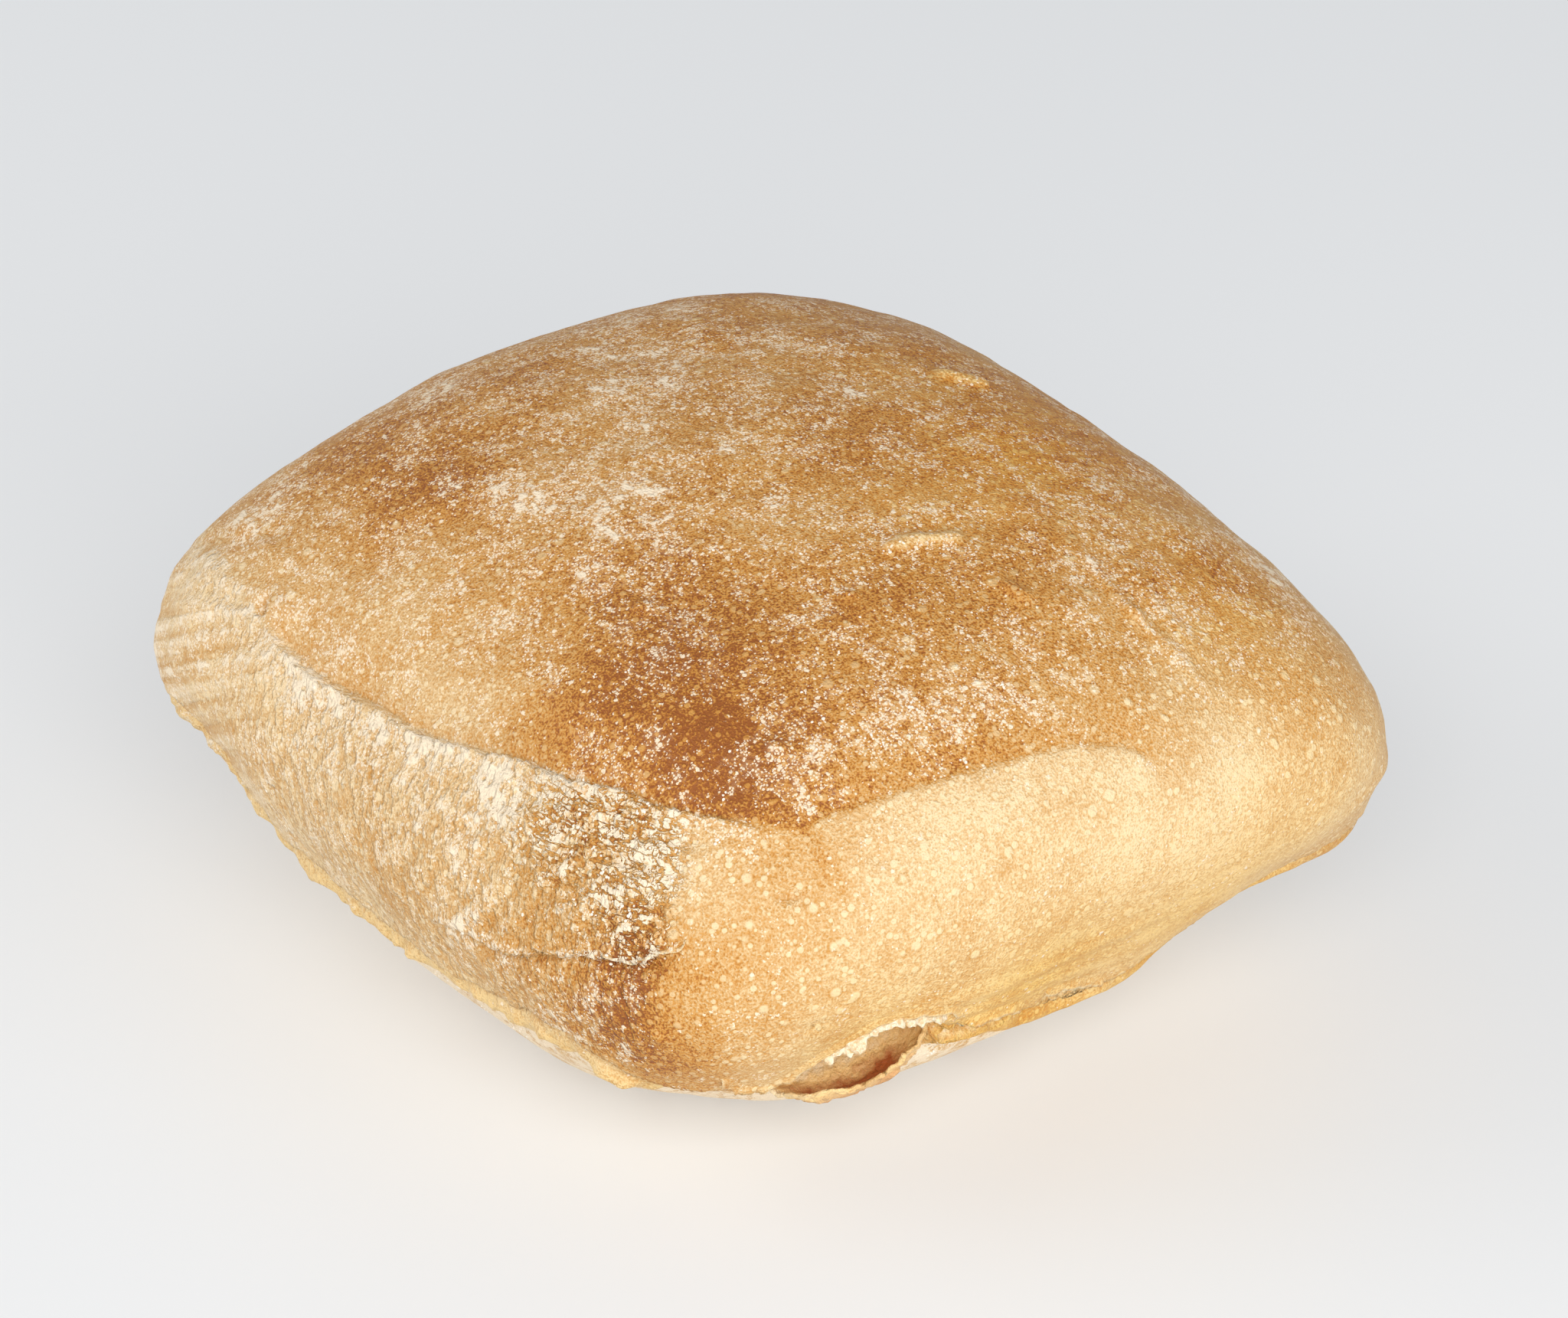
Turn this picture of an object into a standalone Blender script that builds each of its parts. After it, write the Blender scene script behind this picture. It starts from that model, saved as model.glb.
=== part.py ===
"""A square ciabatta roll: one domed, hand-cut roll with a pinched base seam and a burst blister.

Run it with: blender --background --python part.py
The roll stands on the XY plane, its cut front side faces -Y, and +Z is up. Sizes are in metres.
"""

import math

import bmesh
import bpy
from mathutils import Vector

MM = 0.001

# ---- Driving dimensions -------------------------------------------------------------------------

CORE = Vector((0.7, -0.1, 19.4)) * MM  # the point that each facet reaches out from
SOFTNESS = 5.7  # how tightly the facets are rounded into each other; higher is sharper
CELLS_PER_SIDE = 24  # the crust's mesh, on each side of the cube that it starts from
SETTLE = 1.2 * MM  # half the height over which the underside rounds into its flat foot

# The dough was cut square, so its form is a soft polyhedron. Each facet has a bearing (0 is +X and
# 90 is +Y), a slope above the horizon, both in degrees, and a reach from the core in mm.
FACETS = {
    "crown": (0.0, 87.5, 33.75),
    "front_shoulder": (-92.0, 64.0, 37.0),
    "right_shoulder": (3.0, 61.0, 41.0),
    "back_shoulder": (86.5, 57.5, 40.75),
    "left_shoulder": (-179.0, 59.0, 44.25),
    "front_cut": (-85.5, 35.5, 48.0),
    "front_belly": (-92.5, -3.5, 53.25),
    "right_side": (-7.0, 9.5, 51.75),
    "back_side": (86.0, 19.5, 46.25),
    "left_side": (178.5, 19.0, 52.75),
    "near_corner": (-54.0, -12.0, 61.5),
    "right_corner": (45.5, 9.0, 72.0),
    "back_corner": (135.0, 15.0, 62.0),
    "left_corner": (-134.5, 9.5, 71.0),
    "front_tuck": (-92.0, -47.5, 34.75),
    "right_tuck": (2.0, -44.5, 35.0),
    "back_tuck": (89.5, -47.0, 36.25),
    "left_tuck": (-178.0, -46.0, 36.0),
    "underside": (0.0, -88.0, 23.0),
}

# Places where the oven spring pushed the crust out or left it short: a centre in mm, a radius in mm
# and how far it stands out in mm.
SWELLS = {
    "near_corner_knuckle": ((36.0, -38.0, 21.0), 9.0, 0.9),
    "right_corner_hollow": ((36.5, 24.5, 8.5), 8.5, -2.2),
    "left_corner_hollow": ((-26.0, -41.0, 16.0), 8.0, -1.6),
}

# The fold where the cut front side meets the top skin, from the left to the near corner, in mm.
FOLD_PATH = ((-17.0, 33.9), (-4.0, 34.2), (10.5, 36.0), (24.0, 37.2), (37.5, 36.7))  # X, Z
FOLD_DEPTH = 1.0 * MM
FOLD_HALF_WIDTH = 2.6 * MM
FOLD_SIDE = -20 * MM  # the fold marks only the crust on the -Y side of this
FOLD_END_SLOPE = 2  # how steeply the fold deepens from its two ends

# The pinched seam between the side crust and the base crust.
SEAM_POINTS = 64
SEAM_RADIUS = 1.8 * MM
SEAM_SINK = 1.5 * MM  # how far the bead's centre line lies inside the crust
SEAM_HEIGHT = 11.0 * MM
SEAM_RISE = 3.2 * MM  # the seam climbs away from the near corner
SEAM_LOW_BEARING = math.radians(-30)
SEAM_SEARCH = (math.radians(-75), math.radians(10))  # the slopes between which the seam is looked for
SEAM_HALVINGS = 30

# The burst blister at the foot of the right side: what swelled out, and the hollow it left.
BLISTER_CENTRE = Vector((34.0, -20.5, 10.0)) * MM
BLISTER_RADII = Vector((4.6, 7.2, 3.8)) * MM
HOLLOW_CENTRE = Vector((39.4, -20.0, 12.0)) * MM
HOLLOW_RADII = Vector((6.0, 6.0, 3.0)) * MM
HOLLOW_TILT = math.radians(20)  # the hollow opens outwards and up
BALL_SEGMENTS = 20
BALL_RINGS = 12

CRUST_COLOUR = (0.62, 0.33, 0.11, 1.0)
CRUST_ROUGHNESS = 0.62


# ---- The form -----------------------------------------------------------------------------------


def facet_planes():
    """Each facet as (outward normal, reach in metres)."""
    planes = []
    for bearing, slope, reach in FACETS.values():
        turn, tilt = math.radians(bearing), math.radians(slope)
        flat = math.cos(tilt)
        normal = Vector((flat * math.cos(turn), flat * math.sin(turn), math.sin(tilt)))
        planes.append((normal, reach * MM))
    return planes


def reach_along(direction, planes):
    """How far the soft polyhedron reaches from the core in a unit direction."""
    total = 0.0
    for normal, reach in planes:
        share = normal.dot(direction) / reach
        if share > 0:
            total += share**SOFTNESS
    return total ** (-1 / SOFTNESS)


def fold_height(x):
    """The height of the fold at x, on straight lines between its path's points."""
    for (x0, z0), (x1, z1) in zip(FOLD_PATH, FOLD_PATH[1:]):
        if x <= x1 * MM:
            share = (x / MM - x0) / (x1 - x0)
            return (z0 + share * (z1 - z0)) * MM
    return FOLD_PATH[-1][1] * MM


def fold_depth(point):
    """How deep the fold cuts in at a point of the front."""
    start, end = FOLD_PATH[0][0] * MM, FOLD_PATH[-1][0] * MM
    if point.y > FOLD_SIDE or not start < point.x < end:
        return 0.0
    off = (point.z - fold_height(point.x)) / FOLD_HALF_WIDTH
    fade = math.sin(math.pi * (point.x - start) / (end - start))
    return FOLD_DEPTH * math.exp(-off * off) * min(1.0, FOLD_END_SLOPE * fade)


def swell_at(point):
    """How far the swells and hollows move the crust at a point."""
    total = 0.0
    for centre, radius, height in SWELLS.values():
        off = (point - Vector(centre) * MM).length / (radius * MM)
        total += height * MM * math.exp(-off * off)
    return total


def settled(height):
    """A height after the soft dough has settled on the table: flat below, unchanged above."""
    if height <= -SETTLE:
        return 0.0
    if height >= SETTLE:
        return height
    return (height + SETTLE) ** 2 / (4 * SETTLE)


def crust_point(direction, planes):
    """The point of the crust in a unit direction from the core."""
    point = CORE + direction * reach_along(direction, planes)
    point += direction * (swell_at(point) - fold_depth(point))
    point.z = settled(point.z)
    return point


def crust_point_at(bearing, height, planes):
    """The point of the lower crust at a bearing in radians and a height, found by halving."""
    low, high = SEAM_SEARCH
    for _ in range(SEAM_HALVINGS):
        middle = (low + high) / 2
        flat = math.cos(middle)
        direction = Vector((flat * math.cos(bearing), flat * math.sin(bearing), math.sin(middle)))
        point = crust_point(direction, planes)
        if point.z > height:
            high = middle
        else:
            low = middle
    return point


# ---- Blender helpers ----------------------------------------------------------------------------


def clear_scene():
    for obj in list(bpy.data.objects):
        bpy.data.objects.remove(obj, do_unlink=True)


def collection_named(name):
    made = bpy.data.collections.new(name)
    bpy.context.scene.collection.children.link(made)
    return made


def object_from(bm, name, collection):
    mesh = bpy.data.meshes.new(name)
    bmesh.ops.recalc_face_normals(bm, faces=bm.faces)
    bm.to_mesh(mesh)
    bm.free()
    mesh.shade_smooth()
    obj = bpy.data.objects.new(name, mesh)
    collection.objects.link(obj)
    return obj


def crust_material():
    material = bpy.data.materials.new("baked_crust")
    material.use_nodes = True
    shader = material.node_tree.nodes["Principled BSDF"]
    shader.inputs["Base Color"].default_value = CRUST_COLOUR
    shader.inputs["Roughness"].default_value = CRUST_ROUGHNESS
    shader.inputs["Metallic"].default_value = 0.0
    return material


def as_helper(obj):
    obj.hide_render = True
    obj.display_type = "WIRE"
    return obj


# ---- The pieces ---------------------------------------------------------------------------------


def make_crust(collection, planes):
    """The whole roll, as a cube whose points are blown out onto the soft polyhedron."""
    bm = bmesh.new()
    bmesh.ops.create_cube(bm, size=2.0)
    bmesh.ops.subdivide_edges(bm, edges=bm.edges, cuts=CELLS_PER_SIDE - 1, use_grid_fill=True)
    for vertex in bm.verts:
        even = [math.tan(value * math.pi / 4) for value in vertex.co]
        vertex.co = crust_point(Vector(even).normalized(), planes)
    return object_from(bm, "bread_roll", collection)


def make_seam_bead(collection, planes):
    """The pinched seam as a closed round bead that lies half in the crust."""
    curve = bpy.data.curves.new("seam_bead", "CURVE")
    curve.dimensions = "3D"
    curve.bevel_depth = SEAM_RADIUS
    curve.bevel_resolution = 2
    spline = curve.splines.new("POLY")
    spline.points.add(SEAM_POINTS - 1)
    spline.use_cyclic_u = True
    for index, spot in enumerate(spline.points):
        bearing = 2 * math.pi * index / SEAM_POINTS
        height = SEAM_HEIGHT - SEAM_RISE * math.cos(bearing - SEAM_LOW_BEARING)
        point = crust_point_at(bearing, height, planes)
        point -= (point - CORE).normalized() * SEAM_SINK
        spot.co = (*point, 1.0)
    guide = bpy.data.objects.new("seam_curve", curve)
    collection.objects.link(guide)
    depsgraph = bpy.context.evaluated_depsgraph_get()
    mesh = bpy.data.meshes.new_from_object(guide.evaluated_get(depsgraph))
    bead = bpy.data.objects.new("seam_bead", mesh)
    bead.matrix_world = guide.matrix_world
    collection.objects.link(bead)
    bpy.data.objects.remove(guide, do_unlink=True)
    return as_helper(bead)


def make_ball(name, centre, radii, tilt, collection):
    """An ellipsoid, tilted about Y so that its +X end rises."""
    bm = bmesh.new()
    bmesh.ops.create_uvsphere(bm, u_segments=BALL_SEGMENTS, v_segments=BALL_RINGS, radius=1.0)
    bmesh.ops.scale(bm, vec=radii, verts=bm.verts)
    ball = object_from(bm, name, collection)
    ball.location = centre
    ball.rotation_euler = (0, -tilt, 0)
    return as_helper(ball)


def add_boolean(obj, name, operation, other):
    modifier = obj.modifiers.new(name, "BOOLEAN")
    modifier.operation = operation
    modifier.object = other


def main():
    clear_scene()
    planes = facet_planes()
    parts = collection_named("bread_roll")
    cutters = collection_named("cutters")
    crust = make_crust(parts, planes)
    crust.data.materials.append(crust_material())
    add_boolean(crust, "seam", "UNION", make_seam_bead(cutters, planes))
    blister = make_ball("blister", BLISTER_CENTRE, BLISTER_RADII, 0.0, cutters)
    add_boolean(crust, "blister", "UNION", blister)
    hollow = make_ball("hollow", HOLLOW_CENTRE, HOLLOW_RADII, HOLLOW_TILT, cutters)
    add_boolean(crust, "hollow", "DIFFERENCE", hollow)


main()
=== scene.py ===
"""A square, floury ciabatta roll on a pale table: its crust, seam, burst blister, flour and finishes."""

import math

import bmesh
import bpy
import numpy as np
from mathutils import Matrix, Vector


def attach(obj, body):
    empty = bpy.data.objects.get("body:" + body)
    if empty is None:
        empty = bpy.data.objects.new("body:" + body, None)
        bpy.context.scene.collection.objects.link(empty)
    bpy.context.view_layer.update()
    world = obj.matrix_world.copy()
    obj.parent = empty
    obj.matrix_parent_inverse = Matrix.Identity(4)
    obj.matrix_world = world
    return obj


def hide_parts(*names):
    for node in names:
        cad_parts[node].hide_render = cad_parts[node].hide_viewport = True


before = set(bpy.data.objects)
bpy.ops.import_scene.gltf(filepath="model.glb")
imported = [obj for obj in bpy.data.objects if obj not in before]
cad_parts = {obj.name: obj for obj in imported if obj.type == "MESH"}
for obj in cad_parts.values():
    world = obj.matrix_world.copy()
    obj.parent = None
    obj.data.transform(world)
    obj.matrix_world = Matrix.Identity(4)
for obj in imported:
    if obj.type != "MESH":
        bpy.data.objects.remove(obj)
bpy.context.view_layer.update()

MM = 0.001  # every size and place below is in millimetres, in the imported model's frame

# ---- The form of the dough ------------------------------------------------------------------------

CORE = np.array((0.7, -0.1, 19.4))  # the point that each facet reaches out from
SOFTNESS = 5.7  # how closely the form follows its facets: higher is boxier
SETTLE = 1.2  # the height under which the dough flattens onto the table
CRUST_CELLS = 104  # the crust's mesh, on each side of the cube that it starts from
LIP_CELL = 0.3  # the mesh of the torn lips
RAG_CELL = 0.16  # the mesh of the rags of crumb

# Each facet of the soft polyhedron: its bearing and slope in degrees, and its reach.
FACETS = (
    (0.0, 87.5, 33.75),  # crown
    (-92.0, 64.0, 37.0),  # shoulders: front, right, back and left
    (3.0, 61.0, 41.0),
    (86.5, 57.5, 40.75),
    (-179.0, 59.0, 44.25),
    (-85.5, 35.5, 48.0),  # front cut
    (-92.5, -3.5, 53.25),  # sides: front, right, back and left
    (-7.0, 9.5, 51.75),
    (86.0, 19.5, 46.25),
    (178.5, 19.0, 52.75),
    (-54.0, -12.0, 61.5),  # corners: near, right, back and left
    (45.5, 9.0, 72.0),
    (135.0, 15.0, 62.0),
    (-134.5, 9.5, 71.0),
    (-92.0, -47.5, 34.75),  # tucks under: front, right, back and left
    (2.0, -44.5, 35.0),
    (89.5, -47.0, 36.25),
    (-178.0, -46.0, 36.0),
    (0.0, -88.0, 23.0),  # underside
)

# Soft swellings and hollows of the crust: centre, radius, height.
SWELLS = (
    ((36.0, -38.0, 21.0), 9.0, 0.9),
    ((36.5, 24.5, 8.5), 8.5, -2.2),
    ((-26.0, -41.0, 16.0), 8.0, -1.6),
    ((20.0, -30.5, 41.0), 10.0, 0.35),
    ((-8.0, -24.0, 45.5), 9.0, 0.3),
    ((30.0, 2.0, 45.5), 8.0, 0.3),
    ((2.0, 12.0, 50.0), 9.0, -0.3),
    ((14.0, -18.0, 46.5), 7.0, -0.35),
    ((36.5, -22.0, 9.0), 9.0, -1.3),
    ((27.0, -30.0, 5.5), 7.5, -1.1),
    ((40.5, -20.0, 13.5), 6.0, -0.9),
    ((36.0, 18.0, 7.5), 5.0, -2.2),
    ((-31.6, -41.2, 19.0), 5.0, -1.0),
    ((2.0, 34.7, 40.0), 11.0, 0.2),
    ((16.0, 35.7, 37.4), 9.0, 0.1),
    ((-39.5, -18.5, 39.0), 8.0, 0.15),
    ((41.5, 19.5, 13.0), 6.5, -0.4),
    ((-22.0, 20.0, 44.0), 17.0, -0.5),
    ((-42.0, -25.0, 34.0), 7.0, -0.5),
)

# ---- Lines on the crust ---------------------------------------------------------------------------

# The fold where the cut front side laps over the top skin.
FRONT_FOLD = (
    (-21.0, -39.2, 34.3),
    (-16.3, -40.3, 33.9),
    (-9.8, -40.7, 33.8),
    (-4.2, -40.4, 34.2),
    (3.3, -39.9, 34.7),
    (17.5, -36.9, 36.8),
    (29.9, -32.8, 37.3),
    (37.5, -27.1, 36.7),
)
# The crack low on the front, over the bulging near corner.
LOW_CRACK = (
    (9.8, -44.2, 20.9),
    (14.7, -44.1, 22.2),
    (19.8, -43.7, 22.4),
    (25.6, -42.6, 24.4),
    (31.5, -40.6, 26.2),
    (34.0, -39.2, 26.4),
    (35.5, -37.9, 27.8),
    (37.3, -36.2, 28.5),
)
# The upper edge of the pale patch on the right side, where another roll lay against it.
PATCH_EDGE = (
    (38.8, -26.7, 35.9),
    (38.8, -23.9, 37.2),
    (40.0, -19.0, 37.8),
    (41.0, -13.1, 38.1),
    (42.1, -5.7, 38.0),
    (43.0, 0.4, 37.4),
    (44.2, 4.7, 36.1),
    (45.3, 6.0, 34.6),
    (46.4, 5.6, 32.0),
)
# The pinched seam, round the roll from the left corner of the front.
BASE_SEAM = (
    (-33.0, -39.0, 20.0),
    (-26.4, -42.4, 18.6),
    (-16.2, -41.5, 16.2),
    (-4.4, -42.6, 15.8),
    (11.5, -42.4, 15.6),
    (21.7, -41.6, 15.7),
    (28.2, -39.9, 15.0),
    (33.9, -34.4, 12.2),
    (36.6, -30.9, 11.6),
    (37.2, -27.1, 10.9),
    (38.9, -24.2, 11.8),
    (41.3, -21.3, 14.4),
    (42.5, -16.5, 15.5),
    (42.3, -13.0, 14.6),
    (41.4, -8.1, 12.9),
    (39.8, -2.1, 10.6),
    (39.0, 5.8, 9.9),
    (39.8, 10.2, 10.9),
    (41.0, 15.5, 12.6),
    (42.6, 25.0, 15.4),
    (34.0, 38.0, 16.2),
    (15.0, 43.0, 14.5),
    (-8.0, 43.0, 16.0),
    (-30.0, 41.0, 15.5),
    (-42.0, 32.0, 17.0),
    (-45.0, 10.0, 15.5),
    (-44.0, -12.0, 17.0),
    (-40.0, -30.0, 19.5),
)
# Fine wrinkles and pale scratches: the points, the height and the half width.
WRINKLES = (
    (((-37.0, -35.0, 33.0), (-29.0, -38.2, 34.1), (-21.4, -38.3, 35.5), (-14.2, -38.4, 36.0)), 0.3, 0.8),
    (((-38.0, -33.5, 36.0), (-29.0, -35.0, 37.5), (-21.0, -36.2, 37.8)), 0.3, 0.8),
    (((-35.5, -38.4, 28.5), (-26.7, -39.8, 32.9), (-19.9, -39.4, 34.6)), 0.35, 0.7),
    (((-38.5, -31.5, 30.0), (-33.0, -35.8, 35.8), (-25.0, -33.0, 40.0)), -0.35, 1.0),
    (((10.6, -42.2, 31.2), (17.9, -40.2, 33.2), (23.9, -37.3, 35.3), (33.0, -33.6, 35.3)), 0.4, 0.6),
    (((9.6, -44.0, 27.2), (16.0, -42.0, 30.7), (21.6, -39.7, 33.2)), 0.25, 0.7),
    (((25.8, -38.7, 33.3), (31.3, -36.4, 33.6), (35.5, -34.2, 33.5)), -0.6, 0.5),
    (((24.0, -37.2, 35.0), (30.0, -35.0, 35.3), (35.4, -31.6, 35.5)), -0.5, 0.45),
    (((9.8, -44.2, 20.9), (14.3, -44.2, 23.1), (19.9, -43.3, 26.5)), 0.35, 0.6),
    (((25.1, 13.0, 46.0), (32.2, 12.2, 43.8), (38.1, 13.4, 40.7), (43.5, 15.6, 36.2)), 0.3, 0.5),
    (((27.0, 16.0, 45.0), (34.5, 15.5, 42.3), (41.0, 17.0, 38.4)), 0.25, 0.5),
    (((44.0, -24.0, 19.0), (44.6, -10.0, 18.0), (45.0, 2.0, 17.5), (45.4, 12.0, 18.5)), 0.3, 0.9),
    (((43.0, -20.0, 15.9), (43.6, -8.0, 15.2), (43.0, 4.0, 13.6)), 0.25, 0.7),
    (((-34.0, 40.0, 20.0), (-18.0, 43.5, 19.0), (-2.0, 44.5, 19.5), (12.0, 44.5, 18.5)), 0.35, 0.9),
    (((-44.5, -16.0, 21.0), (-46.5, -2.0, 20.0), (-46.5, 12.0, 20.5), (-43.5, 28.0, 21.5)), 0.35, 0.9),
    (((30.0, 40.5, 20.0), (40.0, 36.0, 21.5), (45.0, 27.0, 21.0)), 0.3, 0.8),
)
# Raised blisters and small craters on the skin: two ends, half width, height.
WEALS = (
    (((-0.6, 19.9, 48.2), (0.6, 21.2, 47.9), (1.4, 22.2, 47.5)), 0.95, 0.6),
    (((20.2, -2.6, 47.8), (20.8, -0.2, 47.8), (22.1, 3.2, 47.4)), 0.7, 0.52),
    (((29.0, 3.3, 45.5), (30.6, 4.1, 45.0)), 0.6, 0.4),
    (((23.2, -9.4, 46.6), (23.5, -8.9, 46.6)), 0.55, 0.35),
    (((11.9, -23.0, 45.1), (12.4, -22.7, 45.1)), 0.75, 0.35),
    (((31.8, -24.1, 41.0), (32.8, -23.3, 40.8)), 0.6, 0.35),
    (((34.6, 12.4, 42.6), (35.1, 12.9, 42.4)), 0.6, 0.35),
    (((35.3, -38.4, 20.3), (35.6, -38.1, 20.1)), 0.7, 0.45),
    (((40.6, -29.2, 32.4), (40.9, -28.7, 32.4)), 0.4, -0.8),
    (((41.1, -28.3, 32.2), (41.3, -27.9, 32.1)), 0.35, -0.7),
    (((42.5, -20.9, 34.2), (42.8, -20.7, 34.0)), 0.6, -0.45),
    (((42.7, -8.1, 37.1), (42.7, -8.0, 37.1)), 0.28, -0.9),
    (((42.3, -27.8, 19.7), (42.9, -26.9, 20.5)), 0.25, -0.9),
    (((-21.9, -38.0, 35.3), (-21.3, -38.4, 34.6)), 0.5, -1.0),
    (((-12.0, 44.0, 27.0), (-9.5, 44.5, 27.6)), 0.7, 0.5),
    (((21.0, 44.0, 25.0), (22.0, 44.0, 26.0)), 0.8, 0.45),
    (((-46.0, 11.0, 27.0), (-46.5, 13.0, 28.0)), 0.7, 0.5),
    (((-36.0, 20.0, 40.0), (-35.5, 21.0, 40.0)), 0.7, 0.4),
)

# How far from its line each of these shows at most.
FOLD_REACH = 14.0
SEAM_REACH = 13.0
CRACK_REACH = 9.0
PATCH_REACH = 16.0
MARK_REACH = 4.0  # wrinkles, blisters, craters and tears
PLAIN_WEAL = 0.5  # a blister higher than this is plain to see, and paler on top

# The ridges in the slack skin of the left corner: the way that they run, and the way across them.
RIDGE_RUN = np.array((0.60, 0.80, 0.0))
RIDGE_ACROSS = np.array((-0.49, 0.18, 0.87))
RIPPLE_LEAN = 0.35  # how the ripples on the front side lean to the right as they rise

# The burst blister at the foot of the right side: the hole in the skin.
HOLE_AXIS = np.array((0.369, 0.900, 0.244))  # the way that the hole runs
HOLE_OUTWARD = np.array((0.782, -0.155, -0.604))  # the way that the skin faces there
HOLE_ACROSS = np.cross(HOLE_OUTWARD, HOLE_AXIS)
HOLE_CENTRE = np.array((40.2, -19.6, 12.1))
HOLE_HALF_LENGTH = 7.4
HOLE_HALF_HEIGHT = 5.7
HOLE_DEPTH = 6.0
HOLE_REACH = 9.0  # no part of the hole is further than this from its middle

POCKET_MIDDLE = np.array((37.5, -26.5, 12.0))  # the seam has no strip around this place

# The blister's lower shell, a shallow bowl that is still attached below the hole.
BOWL_CENTRE = np.array((36.9, -20.5, 12.7))
BOWL_OPENING = np.array((0.551, -0.421, 0.721))
BOWL_RADII = np.array((7.5, 3.8, 3.6))  # along the hole, across it, and deep
BOWL_AXES = np.array((HOLE_AXIS, np.cross(BOWL_OPENING, HOLE_AXIS), BOWL_OPENING))
BOWL_THICKNESS = 0.55
BOWL_CELLS = 200  # round the bowl
BOWL_RINGS = 90  # from pole to pole of the sphere that it is cut from
BOWL_CUT = 0.01  # the sphere, of radius 1, is cut open this far above its middle

# The torn edge of the skin over the burst blister, from the flap at its left end.
BLISTER_EDGE = (
    (36.4, -33.4, 14.6),
    (36.2, -31.4, 12.4),
    (36.4, -29.2, 11.0),
    (37.2, -27.2, 11.0),
    (38.4, -25.7, 12.2),
    (39.7, -24.4, 13.9),
    (41.0, -22.9, 15.7),
    (42.0, -21.2, 17.0),
    (42.8, -19.0, 17.6),
    (43.2, -16.4, 17.5),
    (43.0, -13.8, 16.5),
    (42.3, -12.0, 14.9),
)
# The torn edges of the skin in two places on the seam, and at the right end of the low crack.
SEAM_EDGE_1 = ((41.4, -11.4, 13.2), (41.9, -9.3, 13.7), (41.6, -6.8, 13.2), (40.8, -4.0, 12.0))
SEAM_EDGE_2 = ((40.8, -1.6, 12.1), (40.8, 1.4, 11.9), (40.0, 4.0, 11.1), (39.2, 6.0, 10.2))
CRACK_EDGE = ((31.0, -40.9, 26.3), (33.6, -39.5, 26.6), (35.4, -38.0, 27.8), (37.0, -36.4, 28.6))
# Lips of torn skin: the free edge, the width, the lift, the thickness.
LIPS = {
    "blister_lip": (BLISTER_EDGE, 1.9, 0.4, 0.5),
    "seam_lip_1": (SEAM_EDGE_1, 1.8, 0.45, 0.4),
    "seam_lip_2": (SEAM_EDGE_2, 1.6, 0.4, 0.4),
    "crack_lip": (CRACK_EDGE, 1.2, 0.3, 0.25),
}
# Rags of crumb that hang down inside the torn skin: their line on the crust, and their length.
SEAM_RAG_LINE = ((41.4, -11.4, 13.0), (41.8, -9.3, 13.4), (41.5, -6.8, 13.0), (40.7, -4.0, 11.9))
RAGS = {
    "blister_rag": (BLISTER_EDGE[5:], 1.7),
    "seam_rag_1": (SEAM_RAG_LINE, 0.9),
}

# Small tears along the seam that show white crumb: two ends, half width, depth.
TEARS = (
    (((41.2, -11.2, 12.3), (41.2, -6.6, 12.2)), 1.4, 1.8),
    (((40.6, -0.6, 11.2), (39.9, 3.6, 10.3)), 0.7, 0.6),
)

# ---- The unevenness of the dough ------------------------------------------------------------------

# Layers of noise: the strength, the size of the cells, and the seed.
CRUST_NOISE = ((0.50, 19.0, 1), (0.24, 8.5, 2), (0.13, 3.6, 3), (0.06, 1.7, 4))
FOLD_NOISE = ((0.5, 2.6, 11), (0.2, 1.1, 12))
CRACK_NOISE = ((0.35, 1.8, 21),)
SEAM_NOISE = ((0.8, 3.1, 31), (0.35, 1.3, 32))
SEAM_STRENGTH_NOISE = ((0.4, 9.0, 33),)
KNOB_NOISE = ((0.6, 2.3, 34), (0.9, 1.1, 35))
RIPPLE_NOISE = ((0.17, (1.25, 3.0, 3.6), 41),)
RIPPLE_CRUMB_NOISE = ((0.10, 1.15, 42),)
RIDGE_NOISE = ((1.0, (11.0, 1.7, 1.0), 43), (0.4, (6.0, 0.9, 1.0), 44))
WRINKLE_NOISE = ((0.35, 2.3, 51),)
WEAL_NOISE = ((0.45, 1.5, 53), (0.25, 0.8, 54))
TEAR_NOISE = ((0.45, 1.1, 55),)
HOLE_NOISE = ((0.14, 1.6, 61), (0.07, 0.8, 62))
BAKE_NOISE = ((0.10, 8.0, 71), (0.05, 3.5, 72))
BASE_BAKE_NOISE = ((0.10, 5.0, 73),)
LIP_EDGE_NOISE = ((0.45, 1.5, 81), (0.3, 0.7, 82))
LIP_CRUMPLE_NOISE = ((0.14, 1.1, 83),)
RAG_EDGE_NOISE = ((0.35, 1.5, 84), (0.25, 0.6, 85))
RAG_CRUMPLE_NOISE = ((0.4, 0.7, 86), (0.25, 0.35, 87))
BOWL_NOISE = ((0.05, 0.35, 91), (0.03, 0.15, 92))
BOWL_RIM_NOISE = ((0.6, 1.6, 93), (0.5, 0.55, 94))
BOWL_WALL_NOISE = ((0.5, 0.08, 96),)

# ---- Zones of colour ------------------------------------------------------------------------------

# How brown the crust is in its main zones, from 0 pale to 1 dark.
SIDE_BAKE = 0.19
FRONT_BAKE = 0.17
PATCH_BAKE = 0.15
BASE_BAKE = 0.22
# How much browner it is than that in some places.
SHOULDER_BAKE = 0.23  # on the shoulders and the top
CROWN_BAKE = 0.23  # on the top, over the shoulders' share
NEAR_CORNER_BAKE = 0.15
OVER_PATCH_BAKE = 0.10
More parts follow.
